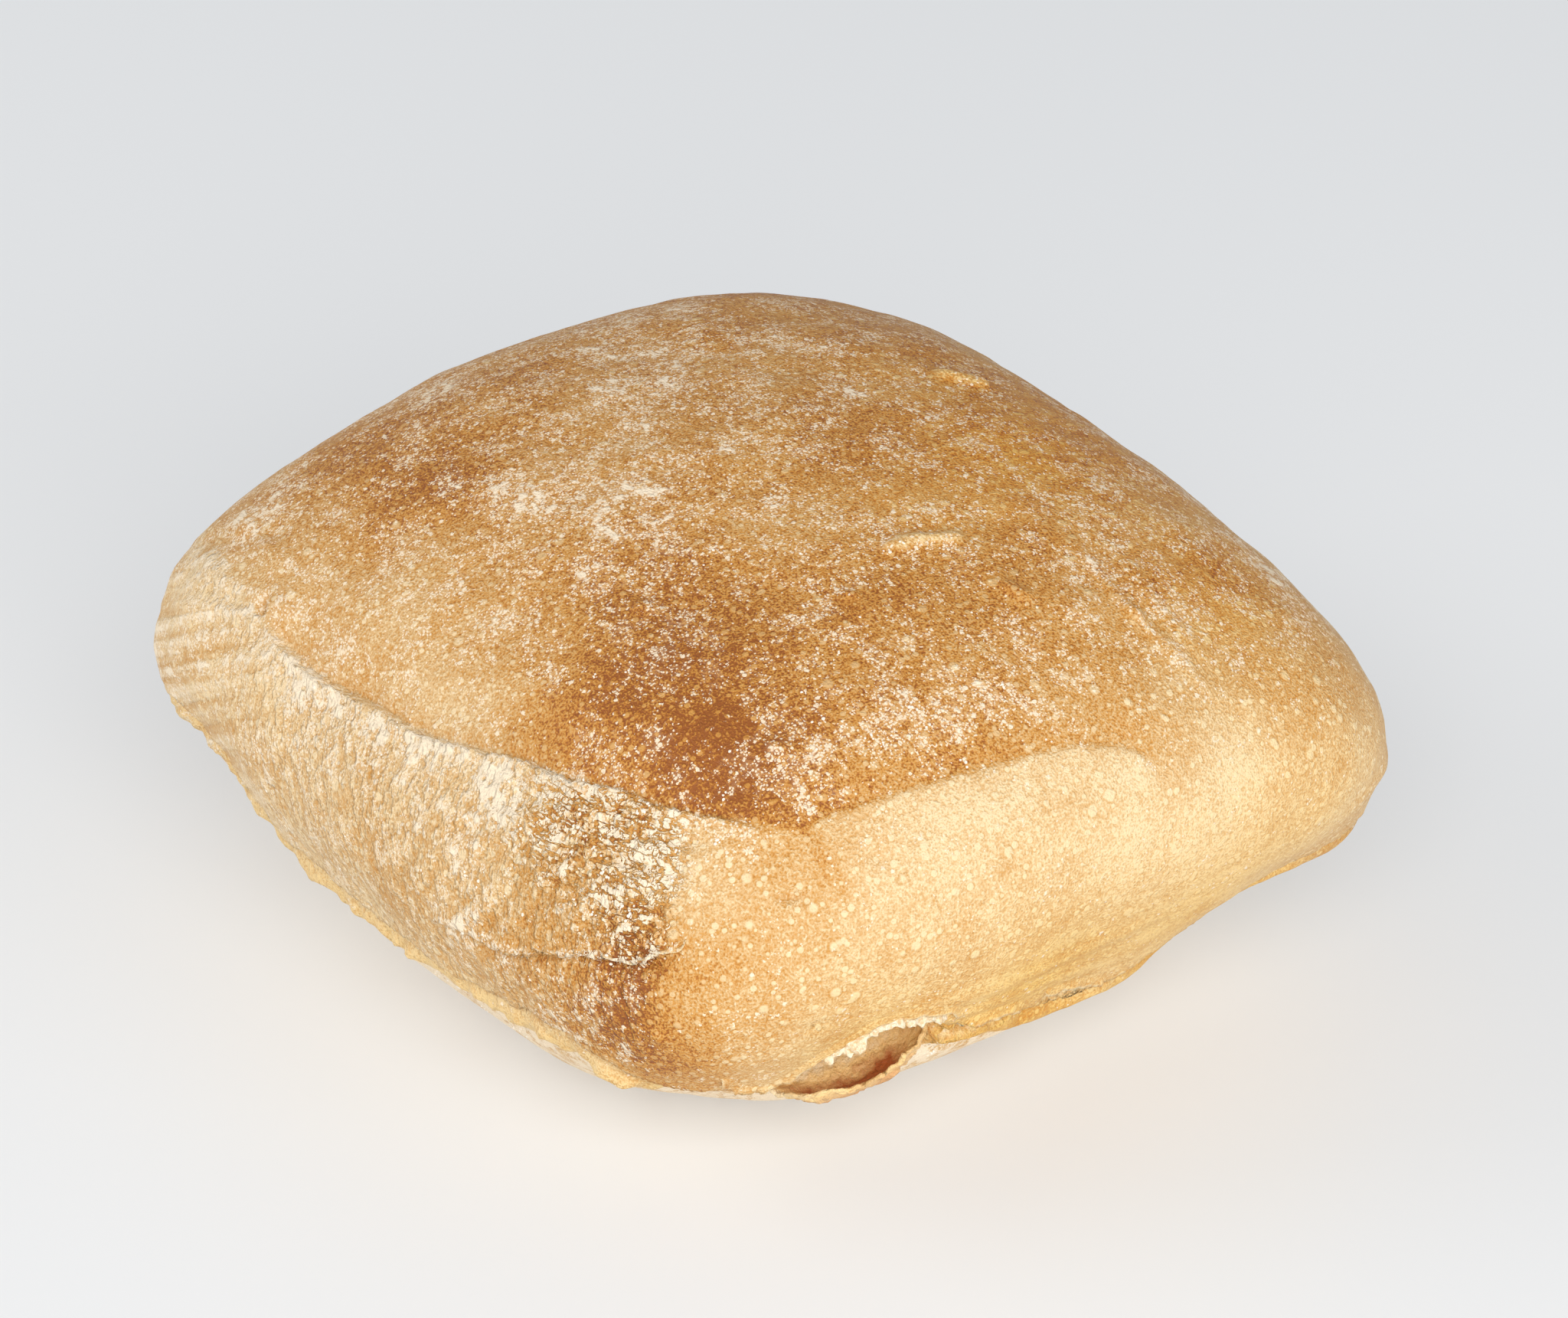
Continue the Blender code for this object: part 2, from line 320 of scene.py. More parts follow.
# Where the crust is browner or paler than its zone: centre, radius, change.
BAKE_SPOT_STRENGTH = 1.25
BAKE_SPOTS = (
    ((28.9, -28.9, 40.0), 5.5, 0.36),
    ((22.5, -24.5, 43.2), 8.0, 0.18),
    ((12.5, -21.0, 45.8), 7.5, 0.12),
    ((-31.4, -20.0, 42.5), 7.0, 0.12),
    ((-22.0, -26.5, 43.0), 7.0, 0.16),
    ((-15.0, -23.0, 45.2), 6.0, 0.10),
    ((7.0, 20.0, 48.0), 9.0, -0.06),
    ((24.0, 22.0, 44.0), 8.0, -0.08),
    ((37.0, 24.0, 38.5), 7.0, -0.10),
    ((-4.0, 9.0, 50.2), 8.0, -0.06),
    ((37.0, -29.0, 34.0), 6.0, 0.14),
    ((20.0, -33.0, 39.5), 7.0, 0.08),
    ((11.0, -9.0, 48.5), 8.0, -0.09),
    ((18.0, 9.0, 48.0), 8.0, -0.17),
    ((-5.0, -9.0, 49.5), 9.0, -0.11),
    ((-8.0, -34.0, 39.5), 9.0, -0.13),
    ((-20.0, -34.5, 38.5), 9.0, -0.11),
    ((-36.0, -34.0, 34.0), 12.0, -0.07),
    ((4.0, -37.5, 37.5), 6.0, -0.16),
    ((40.0, 12.0, 40.5), 9.0, -0.10),
    ((35.0, 20.0, 41.5), 8.0, -0.06),
    ((44.0, 14.0, 36.0), 8.0, -0.06),
    ((46.0, 9.0, 21.0), 10.0, -0.14),
    ((32.0, -39.8, 20.0), 7.0, 0.32),
    ((33.5, -39.0, 24.5), 5.0, 0.20),
    ((41.0, -24.0, 24.0), 9.0, 0.03),
    ((36.0, -36.0, 15.0), 5.0, 0.28),
    ((38.5, -34.5, 23.0), 6.0, 0.08),
    ((22.0, -43.0, 20.5), 6.5, 0.05),
    ((3.0, -44.0, 20.5), 7.0, 0.10),
    ((38.5, -24.5, 36.5), 4.5, 0.12),
    ((44.0, 34.0, 24.0), 12.0, 0.04),
    ((-44.0, 34.0, 24.0), 13.0, 0.20),
    ((-20.0, 42.0, 28.0), 11.0, 0.12),
    ((18.0, 44.0, 30.0), 9.0, -0.10),
    ((-46.0, 4.0, 30.0), 12.0, -0.08),
    ((-45.0, -18.0, 28.0), 9.0, 0.10),
    ((-30.0, 20.0, 44.0), 10.0, 0.06),
    ((-18.0, 9.0, 49.5), 9.0, -0.09),
    ((-6.0, 32.0, 43.5), 9.0, -0.06),
)
# How much flour lies in the crust's main places, from 0 to 1.
SIDE_FLOUR = 0.04
TOP_FLOUR = 0.22
FRONT_FLOUR = 0.27
FOLD_FLOUR = 0.25
CRACK_FLOUR = 0.45
SEAM_FLOUR = -0.10
BASE_FLOUR = 0.74
RIGHT_CLEANNESS = 0.7  # the share of the flour that is missing on the right side
# How much more lies on each millimetre of some raised shapes.
RIDGE_FLOUR = 0.9
RIPPLE_FLOUR = 0.8
WRINKLE_FLOUR = 0.6
# Where flour lies thicker or thinner: centre, radius, change.
FLOUR_SPOTS = (
    ((-26.0, 3.0, 48.0), 9.0, 0.17),
    ((-14.0, -3.0, 49.5), 8.0, 0.16),
    ((-4.0, 8.0, 50.0), 9.0, 0.08),
    ((-33.0, -32.0, 37.5), 6.0, 0.26),
    ((-12.0, -39.5, 35.0), 6.0, 0.14),
    ((-3.0, -6.0, 50.0), 7.0, 0.11),
    ((-8.0, -20.0, 46.8), 6.0, 0.20),
    ((-33.0, -12.0, 44.0), 6.0, 0.20),
    ((3.5, -19.0, 47.0), 5.0, 0.26),
    ((0.0, -14.5, 48.2), 4.0, 0.15),
    ((35.0, -14.5, 42.0), 4.5, 0.18),
    ((38.0, -8.5, 41.0), 4.5, 0.15),
    ((34.0, -24.0, 40.0), 3.5, 0.22),
    ((26.5, -27.5, 41.5), 3.5, -0.2),
    ((30.0, 34.0, 36.0), 6.0, 0.32),
    ((16.0, 38.0, 36.0), 9.0, 0.24),
    ((-40.0, 12.0, 38.0), 9.0, 0.22),
    ((-24.0, 34.0, 36.0), 8.0, 0.22),
    ((5.0, -44.3, 24.0), 7.0, -0.12),
    ((24.0, -42.8, 25.5), 5.0, -0.20),
    ((46.7, -6.0, 28.5), 2.2, 0.30),
    ((40.0, -2.0, 40.0), 1.8, 0.35),
)
# Where flour is caked on the cut front side: centre, radius, change.
CAKED_SPOTS = (
    ((32.5, -35.5, 34.0), 4.5, 0.56),
    ((24.0, -37.8, 34.8), 4.5, 0.42),
    ((16.0, -39.5, 34.5), 5.0, 0.24),
    ((8.0, -41.0, 34.0), 6.0, 0.09),
    ((32.5, -39.0, 29.0), 4.0, 0.26),
    ((15.0, -44.0, 23.5), 3.0, 0.18),
)
# Where the caked flour under the fold is broken into blocks: centre, radius, amount.
CRACKED_SPOTS = (
    ((31.5, -36.0, 34.0), 6.0, 1.2),
    ((23.0, -38.5, 34.0), 5.5, 0.9),
    ((33.5, -38.5, 29.5), 4.0, 0.8),
)
STRIP_GOLD = 0.5  # how yellow the strip along the seam is, from 0 to 1
RIGHT_STRIP_GOLD = 0.7  # and on the right side
# Where the skin is stretched and shows yellow: centre, radius, amount.
GOLD_SPOTS = (
    ((44.0, -5.0, 15.0), 10.0, 0.9),
    ((43.0, 12.0, 17.0), 9.0, 0.6),
    ((10.0, 34.0, 40.0), 14.0, 0.6),
    ((-18.0, 14.0, 47.0), 16.0, 0.35),
    ((46.0, 24.0, 24.0), 9.0, 0.35),
    ((42.0, -22.0, 16.0), 8.0, 0.6),
    ((16.0, 4.0, 48.5), 12.0, 0.45),
    ((14.0, 18.0, 47.0), 10.0, 0.8),
    ((34.0, 22.0, 41.0), 9.0, 0.7),
    ((-1.0, 20.0, 49.0), 8.0, 0.35),
    ((20.0, -36.5, 37.5), 6.0, 0.35),
    ((-10.0, 44.0, 20.0), 12.0, 0.5),
    ((-46.0, -4.0, 20.0), 12.0, 0.5),
)

# ---- The camera and the light ---------------------------------------------------------------------

VIEW_BEARING = 52.84  # degrees from the -Y side towards the +X side
VIEW_SLOPE = 29.84
VIEW_DISTANCE = 767.0
LENS = 197.5
AIM_UP = 6.6  # the aim lies this far above the core, across the view
AIM_RIGHT = 0.8


# ---- Noise and form in numbers --------------------------------------------------------------------


NOISE_VALUES = 8192  # how many random values the noise is made from
NOISE_PRIMES = np.array((73856093, 19349663, 83492791))  # these pick one of them for each grid point


def lattice_noise(points, cell, seed):
    """Smooth noise from -1 to 1: random values on a grid of this cell size, blended in between."""
    table = np.random.default_rng(seed).uniform(-1, 1, NOISE_VALUES)
    grid = points / np.asarray(cell)
    low = np.floor(grid).astype(np.int64)
    part = grid - low
    part = part * part * (3 - 2 * part)
    total = np.zeros(len(points))
    for corner in np.ndindex(2, 2, 2):
        key = np.bitwise_xor.reduce((low + np.array(corner)) * NOISE_PRIMES, axis=1)
        weight = np.where(np.array(corner) == 1, part, 1 - part).prod(axis=1)
        total += weight * table[key % NOISE_VALUES]
    return total


def layered_noise(points, layers):
    """Layers of noise added up, each given by its strength, cell size and seed."""
    return sum(strength * lattice_noise(points, cell, seed) for strength, cell, seed in layers)


def smooth_step(low, high, values):
    """0 at the first bound and beyond it, 1 at the second and beyond, and smooth in between."""
    share = np.clip((values - low) / (high - low), 0, 1)
    return share * share * (3 - 2 * share)


def unit(vectors):
    """The vectors at a length of 1."""
    return vectors / np.linalg.norm(vectors, axis=-1, keepdims=True)


def facet_normals():
    """The directions that the facets face."""
    turn, tilt = np.radians([facet[0] for facet in FACETS]), np.radians([facet[1] for facet in FACETS])
    return np.stack((np.cos(tilt) * np.cos(turn), np.cos(tilt) * np.sin(turn), np.sin(tilt)), axis=1)


FACET_NORMALS = facet_normals()
FACET_REACHES = np.array([facet[2] for facet in FACETS])


def form(directions):
    """The soft polyhedron's points and outward normals in unit directions from the core."""
    shares = np.maximum(directions @ FACET_NORMALS.T / FACET_REACHES, 0)
    reach = (shares**SOFTNESS).sum(axis=1) ** (-1 / SOFTNESS)
    normals = unit((shares ** (SOFTNESS - 1) / FACET_REACHES) @ FACET_NORMALS)
    return CORE + directions * reach[:, None], normals


def on_form(points):
    """The nearest points of the form along lines from the core, and their normals."""
    return form(unit(np.asarray(points, float) - CORE))


def settled(heights):
    """Heights after the soft dough has settled on the table: flat below, unchanged above."""
    rounded = (heights + SETTLE) ** 2 / (4 * SETTLE)
    return np.where(heights <= -SETTLE, 0, np.where(heights >= SETTLE, heights, rounded))


def smooth_path(points, closed=False, per_span=6):
    """A Catmull-Rom curve through the points, laid on the form."""
    points = np.asarray(points, float)
    if closed:
        padded = np.concatenate((points[-1:], points, points[:2]))
    else:
        padded = np.concatenate((2 * points[:1] - points[1:2], points, 2 * points[-1:] - points[-2:-1]))
    made = []
    for before, start, end, after in zip(padded, padded[1:], padded[2:], padded[3:]):
        for step in range(per_span):
            t = step / per_span
            bend = 2 * before - 5 * start + 4 * end - after
            twist = 3 * start - before - 3 * end + after
            made.append(0.5 * (2 * start + (end - before) * t + bend * t * t + twist * t**3))
    made.append(padded[-2])
    return on_form(np.array(made))[0]


def across_line(points, line, reach):
    """For points within reach of a line: how far across it (down or right of its run is positive),
    and how far along it from 0 to 1. Points out of reach get an across of infinity."""
    across = np.full(len(points), np.inf)
    along = np.zeros(len(points))
    above = (points > line.min(axis=0) - reach).all(axis=1)
    near = np.flatnonzero(above & (points < line.max(axis=0) + reach).all(axis=1))
    if len(near) == 0:
        return across, along
    best = np.full(len(near), np.inf)
    _, outward = on_form(line)
    for index, (start, end) in enumerate(zip(line, line[1:])):
        run = end - start
        offset = points[near] - start
        share = np.clip(offset @ run / (run @ run), 0, 1)
        offset = offset - share[:, None] * run
        distance = np.linalg.norm(offset, axis=1)
        closer = distance < best
        best[closer] = distance[closer]
        side = np.sign(offset @ np.cross(run, outward[index]))
        across[near[closer]] = (side * distance)[closer]
        along[near[closer]] = (index + share[closer]) / (len(line) - 1)
    across[near[best > reach]] = np.inf
    return across, along


def end_fade(along, share=0.12):
    """1 along a line, falling to 0 at its two ends."""
    return smooth_step(0, share, along) * smooth_step(0, share, 1 - along)


def bell(offset, width):
    """1 at an offset of 0, falling smoothly to about a third at this width."""
    return np.exp(-((offset / width) ** 2))


def near_line(across, values, elsewhere=0):
    """The values within reach of a line, and another value out of its reach."""
    return np.where(np.isinf(across), elsewhere, values)


def overlap(across, rise, run, drop, width):
    """The height of skin whose edge laps over its neighbour: it rises up to the edge at 0 over
    a run, then drops into a groove of this width. The lapping skin is on the negative side."""
    upper = rise * np.exp(np.minimum(across, 0) / run)
    lower = -drop * np.exp(-np.maximum(across, 0) / width)
    blend = smooth_step(-0.15, 0.15, across)
    return upper * (1 - blend) + lower * blend


def spots_at(points, spots):
    """The sum of round soft spots, each given by its centre, radius and change."""
    total = np.zeros(len(points))
    for centre, radius, change in spots:
        distance = np.linalg.norm(points - np.array(centre), axis=1)
        total += change * bell(distance, radius)
    return total


def crust_surface(points):
    """The relief at places near the crust, and where its skin lies there."""
    relief = Relief(unit(np.asarray(points, float) - CORE))
    return relief, relief.base + relief.normals * relief.skin_height()[:, None]


def lined_by_bowl(points):
    """Moves points out of the blister's bowl, down to just below its shell."""
    offset = (points - BOWL_CENTRE) @ BOWL_AXES.T
    footprint = ((offset[:, :2] / BOWL_RADII[:2]) ** 2).sum(axis=1)
    floor = -(BOWL_RADII[2] + 1.5 * BOWL_THICKNESS) * np.sqrt(np.maximum(1 - footprint, 0))
    share = smooth_step(1.2, 0.0, offset[:, 2]) * (footprint < 1) * (offset[:, 2] > floor)
    offset[:, 2] += share * (floor - offset[:, 2])
    return BOWL_CENTRE + offset @ BOWL_AXES


def hole_offset(points):
    """Where points lie in the burst blister's hole: 0 at its middle, 1 on its edge."""
    offset = points - HOLE_CENTRE
    along = offset @ HOLE_AXIS
    height = offset @ HOLE_ACROSS
    distance = np.sqrt((along / HOLE_HALF_LENGTH) ** 2 + (height / HOLE_HALF_HEIGHT) ** 2)
    same_side = np.abs(offset @ HOLE_OUTWARD) < HOLE_REACH
    return np.where(same_side, distance + layered_noise(points, HOLE_NOISE), HOLE_REACH)


# ---- The crust's relief ---------------------------------------------------------------------------


class Relief:
    """Everything about the crust's surface at a set of directions from the core."""

    def __init__(self, directions):
        self.base, self.normals = form(directions)
        self.fold, self.fold_along = across_line(self.base, smooth_path(FRONT_FOLD), FOLD_REACH)
        self.seam, _ = across_line(self.base, smooth_path(BASE_SEAM, closed=True), SEAM_REACH)
        self.crack, self.crack_along = across_line(self.base, smooth_path(LOW_CRACK), CRACK_REACH)
        self.patch, self.patch_along = across_line(self.base, smooth_path(PATCH_EDGE), PATCH_REACH)
        self.front = self.front_side()
        self.left = smooth_step(-8, -30, self.base[:, 0]) * smooth_step(-22, -34, self.base[:, 1])
        self.left *= smooth_step(0.75, 0.5, self.normals[:, 2])
        self.pocket_distance = np.linalg.norm(self.base - POCKET_MIDDLE, axis=1)
        self.weal = np.zeros(len(directions))
        self.marked = np.zeros(len(directions))
        self.hole = hole_offset(self.base)
        self.tear = np.zeros(len(directions))

    def front_side(self):
        """1 on the cut front side under the fold, 0 elsewhere."""
        facing = smooth_step(0.25, 0.6, -self.normals[:, 1])
        under = near_line(self.fold, smooth_step(-0.4, 0.6, self.fold), elsewhere=self.base[:, 2] < 33)
        near_edge = smooth_step(0.30, 0.05, self.normals[:, 0] + 0.9 * self.normals[:, 1] + 0.35)
        return facing * under * near_edge * smooth_step(13, 17, self.base[:, 2])

    def height(self):
        """How far the crust stands out from the form, along its normal."""
        return self.skin_height() + self.tear_relief() - HOLE_DEPTH * smooth_step(1.05, 0.6, self.hole)

    def skin_height(self):
        """The height of the skin where it isn't torn."""
        total = spots_at(self.base, SWELLS) + layered_noise(self.base, CRUST_NOISE)
        total += self.fold_relief() + self.seam_relief() + self.crack_relief() + self.bark_relief()
        total += self.patch_relief() + self.wrinkle_relief() + self.corner_relief() + self.weal_relief()
        return total

    def fold_relief(self):
        """The cut front side laps up over the top skin, which dips before it."""
        ragged = self.fold + layered_noise(self.base, FOLD_NOISE)
        lap = overlap(-ragged, rise=0.75, run=1.2, drop=1.05, width=1.2)
        dip = -0.7 * bell(self.fold + 2.2, 3.2)
        return near_line(self.fold, (lap + dip) * end_fade(self.fold_along, 0.14))

    def crack_relief(self):
        """The skin above the low crack laps over the skin below it."""
        ragged = self.crack + layered_noise(self.base, CRACK_NOISE)
        lap = overlap(ragged, rise=0.5, run=1.3, drop=0.8, width=0.8)
        return near_line(self.crack, lap * end_fade(self.crack_along, 0.2))

    def seam_relief(self):
        """The upper skin laps over the base skin, which bulges below it in a knobbly strip."""
        ragged = self.seam + layered_noise(self.base, SEAM_NOISE)
        strength = 0.8 + layered_noise(self.base, SEAM_STRENGTH_NOISE)
        lap = overlap(ragged, rise=0.4, run=1.5, drop=1.1, width=0.55)
        knobs = 1 + layered_noise(self.base, KNOB_NOISE) * smooth_step(38, 30, self.base[:, 0])
        strip = 0.75 * bell(ragged - 2.1, 1.3) * knobs * smooth_step(8, 14, self.pocket_distance)
        groove = -0.6 * bell(ragged - 5.0, 1.4)
        tuck = -0.9 * smooth_step(13, 8, self.pocket_distance) * smooth_step(0, 1.5, ragged)
        return near_line(self.seam, strength * (lap + strip + groove) + tuck)

    def corner_relief(self):
        """Ridges that run up over the slack skin of the left corner."""
        run, across = self.base @ RIDGE_RUN, self.base @ RIDGE_ACROSS
        places = np.stack((run, across, 0 * run), axis=1)
        return 0.24 * self.left * layered_noise(places, RIDGE_NOISE)

    def bark_relief(self):
        """Short ripples that run up the cut front side, stronger towards the near corner."""
        leaned = self.base - RIPPLE_LEAN * self.base[:, 2:] * (1, 0, 0)
        ripples = layered_noise(leaned, RIPPLE_NOISE) + layered_noise(self.base, RIPPLE_CRUMB_NOISE)
        return self.front * (0.6 + 0.4 * smooth_step(-10, 25, self.base[:, 0])) * ripples

    def patch_relief(self):
        """The pale patch is pressed in a little under its sharp upper edge."""
        step = overlap(-self.patch, rise=0.0, run=1.0, drop=0.25, width=5.0)
        return near_line(self.patch, -abs(step) * end_fade(self.patch_along, 0.2))

    def wrinkle_relief(self):
        """The fine wrinkles and scratches, each wandering a little off its line."""
        total = np.zeros(len(self.base))
        for points, height, width in WRINKLES:
            across, along = across_line(self.base, smooth_path(points), MARK_REACH)
            wander = across + layered_noise(self.base, WRINKLE_NOISE)
            total += near_line(across, height * bell(wander, width) * end_fade(along, 0.25))
        return total

    def weal_relief(self):
        """The blisters and craters. It also notes where they are, and where a blister is plain."""
        total = np.zeros(len(self.base))
        for ends, width, height in WEALS:
            across, _ = across_line(self.base, on_form(ends)[0], MARK_REACH)
            dome = bell(across / width, 1 + layered_noise(self.base, WEAL_NOISE))
            total += height * dome
            self.marked = np.maximum(self.marked, dome)
            if height > PLAIN_WEAL:
                self.weal = np.maximum(self.weal, smooth_step(0.25, 0.6, dome))
        return total

    def tear_relief(self):
        """The small tears along the seam. It also notes where they are."""
        total = np.zeros(len(self.base))
        for ends, width, depth in TEARS:
            across, _ = across_line(self.base, on_form(ends)[0], MARK_REACH)
            ragged = np.abs(across) / width + layered_noise(self.base, TEAR_NOISE)
            gap = near_line(across, smooth_step(1.2, 0.7, ragged))
            total -= depth * gap
            self.tear = np.maximum(self.tear, gap)
        return total

    def bake(self):
        """How brown the crust is, from 0 pale to 1 dark."""
        points, up = self.base, self.normals[:, 2]
        value = SIDE_BAKE + SHOULDER_BAKE * smooth_step(0.25, 0.75, up)
        value += CROWN_BAKE * smooth_step(0.6, 0.95, up)
        under_fold = near_line(self.fold, smooth_step(-0.6, 0.4, self.fold))
        under_fold *= (up > 0.1) & (points[:, 1] < -26)
        near_corner = smooth_step(0, 25, points[:, 0]) * smooth_step(36, 24, points[:, 2])
        front_bake = FRONT_BAKE + NEAR_CORNER_BAKE * near_corner
        value += (front_bake - value) * np.maximum(self.front, under_fold)
        in_patch = near_line(self.patch, smooth_step(-0.35, 0.35, self.patch))
        in_patch *= smooth_step(15, 6, self.patch) * end_fade(self.patch_along, 0.1)
        value += (PATCH_BAKE - value) * in_patch
        over_patch = near_line(self.patch, bell(self.patch + 1.2, 2.0)) * end_fade(self.patch_along, 0.2)
        value += OVER_PATCH_BAKE * over_patch
        value += BAKE_SPOT_STRENGTH * spots_at(points, BAKE_SPOTS) + layered_noise(points, BAKE_NOISE)
        below = near_line(self.seam, smooth_step(-0.2, 0.5, self.seam), elsewhere=points[:, 2] < 10)
        value += (BASE_BAKE + layered_noise(points, BASE_BAKE_NOISE) - value) * below
        value *= 1 - self.seam_strip() * smooth_step(34, 26, points[:, 0])
        return np.clip(value, 0, 1)

    def flour(self):
        """How much flour lies on the crust, from 0 to 1."""
        points, up = self.base, self.normals[:, 2]
        value = SIDE_FLOUR + TOP_FLOUR * smooth_step(0.4, 0.9, up) + FRONT_FLOUR * self.front
        value += RIDGE_FLOUR * self.corner_relief() + RIPPLE_FLOUR * self.bark_relief()
        value += spots_at(points, FLOUR_SPOTS) + self.front * spots_at(points, CAKED_SPOTS)
        value += FOLD_FLOUR * bell(self.fold - 1.0, 1.1) * end_fade(self.fold_along, 0.12)
        value += WRINKLE_FLOUR * np.maximum(self.wrinkle_relief(), 0)
        value += CRACK_FLOUR * bell(self.crack + 0.25, 0.4) * end_fade(self.crack_along, 0.2)
        value += SEAM_FLOUR * bell(self.seam - 2.0, 2.5)
        value *= 1 - RIGHT_CLEANNESS * smooth_step(0.5, 0.8, self.normals[:, 0])
        below = near_line(self.seam, smooth_step(4.2, 5.4, self.seam), elsewhere=points[:, 2] < 8)
        return np.clip(np.maximum(value, BASE_FLOUR * below), 0, 1)

    def cracked(self):
        """How much the caked flour is broken by cracks."""
        return np.clip(spots_at(self.base, CRACKED_SPOTS) * self.front, 0, 1)

    def gold(self):
        """How yellow the skin is where it is stretched, and along the seam strip."""
        on_right = smooth_step(28, 36, self.base[:, 0])
        strip_gold = STRIP_GOLD + (RIGHT_STRIP_GOLD - STRIP_GOLD) * on_right
        return np.clip(spots_at(self.base, GOLD_SPOTS) + strip_gold * self.seam_strip(), 0, 1)

    def seam_strip(self):
        """1 on the pinched strip just below the seam, 0 away from it."""
        return near_line(self.seam, bell(self.seam - 2.2, 2.0))

    def crumb(self):
        """1 where the crust is open and the crumb shows."""
        return np.clip(np.maximum(smooth_step(0.98, 0.82, self.hole), self.tear), 0, 1)


# ---- Blender helpers ------------------------------------------------------------------------------


def object_from(bm, name, smooth=True):
    """A new object from a bmesh, which it uses up."""
    mesh = bpy.data.meshes.new(name)
    bm.to_mesh(mesh)
    bm.free()
    if smooth:
        mesh.shade_smooth()
    obj = bpy.data.objects.new(name, mesh)
    bpy.context.scene.collection.objects.link(obj)
    return obj


def ride(obj, material):
    """Gives a piece its material, and fixes it to the roll."""
    obj.data.materials.append(material)
    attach(obj, "root")


def place_vertices(bm, points):
    """Moves the vertices to points given in millimetres, and turns the faces outward."""
    for vertex, point in zip(bm.verts, points):
        vertex.co = Vector(point) * MM
    bmesh.ops.recalc_face_normals(bm, faces=bm.faces)


def add_looks(mesh, relief, crumb):
    """Stores how the crust's material varies over a piece of it."""
    looks = {
        "bake": relief.bake(),
        "flour": relief.flour(),
        "gold": relief.gold(),
        "crumb": crumb,
        "weal": relief.weal,
        "cracked": relief.cracked(),
        "bark": relief.front * (1 - 0.8 * relief.left),
        "slack": relief.left,
    }
    for name, values in looks.items():
        add_attribute(mesh, name, values)


def add_attribute(mesh, name, values):
    """Stores a value on each point of a mesh."""
    attribute = mesh.attributes.new(name, "FLOAT", "POINT")
    attribute.data.foreach_set("value", np.asarray(values, np.float32))


# ---- The crust ------------------------------------------------------------------------------------


def cube_directions(bm):
    """Unit directions from the middle of a cube of size 2 to its vertices, spread evenly."""
    places = np.array([vertex.co for vertex in bm.verts])
    return unit(np.tan(places * math.pi / 4))


def refine_lines(bm):
    """Halves the cells of the crust's mesh near its folds, seams, tears and on its front side."""
    relief = Relief(cube_directions(bm))
    relief.height()
    fine = (np.abs(relief.fold) < 3) | (np.abs(relief.crack) < 2.5) | (relief.front > 0.5)
    fine |= (relief.seam > -1.8) & (relief.seam < 4.5) | (np.abs(relief.patch) < 0.9)
    fine |= (relief.hole < 1.3) | (relief.tear > 0) | (relief.marked > 0.05)
    bm.faces.ensure_lookup_table()
    edges = set()
    for face in bm.faces:
        if all(fine[vertex.index] for vertex in face.verts):
            edges.update(face.edges)
    bmesh.ops.subdivide_edges(bm, edges=list(edges), cuts=1, use_grid_fill=True)
    bm.verts.index_update()


def make_crust(material):
    """The whole crust as one closed skin, from a cube blown out onto the form."""
    bm = bmesh.new()
    bmesh.ops.create_cube(bm, size=2.0)
    bmesh.ops.subdivide_edges(bm, edges=bm.edges, cuts=CRUST_CELLS - 1, use_grid_fill=True)
    bm.verts.index_update()
    refine_lines(bm)
    relief = Relief(cube_directions(bm))
    points = lined_by_bowl(relief.base + relief.normals * relief.height()[:, None])
    points[:, 2] = settled(points[:, 2])
    place_vertices(bm, points)
    crust = object_from(bm, "crust")
    add_looks(crust.data, relief, relief.crumb())
    ride(crust, material)
    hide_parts("bread_roll")


# ---- The burst blister and the torn seam ----------------------------------------------------------


def slab(along, across):
    """A flat closed grid: x and y run from -1 to 1, and z is 0 on its upper side and 1 below."""
    bm = bmesh.new()
    bmesh.ops.create_grid(bm, x_segments=along, y_segments=across, size=1.0)
    copied = bmesh.ops.extrude_face_region(bm, geom=bm.faces[:] + bm.edges[:])["geom"]
    vertices = [item for item in copied if isinstance(item, bmesh.types.BMVert)]
    bmesh.ops.translate(bm, verts=vertices, vec=(0, 0, 1))
    bm.faces.ensure_lookup_table()
    return bm


def along_path(path, shares):
    """Points at shares of a path's length, with the path's direction there."""
    lengths = np.concatenate(((0,), np.cumsum(np.linalg.norm(np.diff(path, axis=0), axis=1))))
    places = shares * lengths[-1]
    points = np.stack([np.interp(places, lengths, path[:, axis]) for axis in range(3)], axis=1)
    runs = np.gradient(path, lengths, axis=0)
    runs = np.stack([np.interp(places, lengths, runs[:, axis]) for axis in range(3)], axis=1)
    return points, unit(runs)


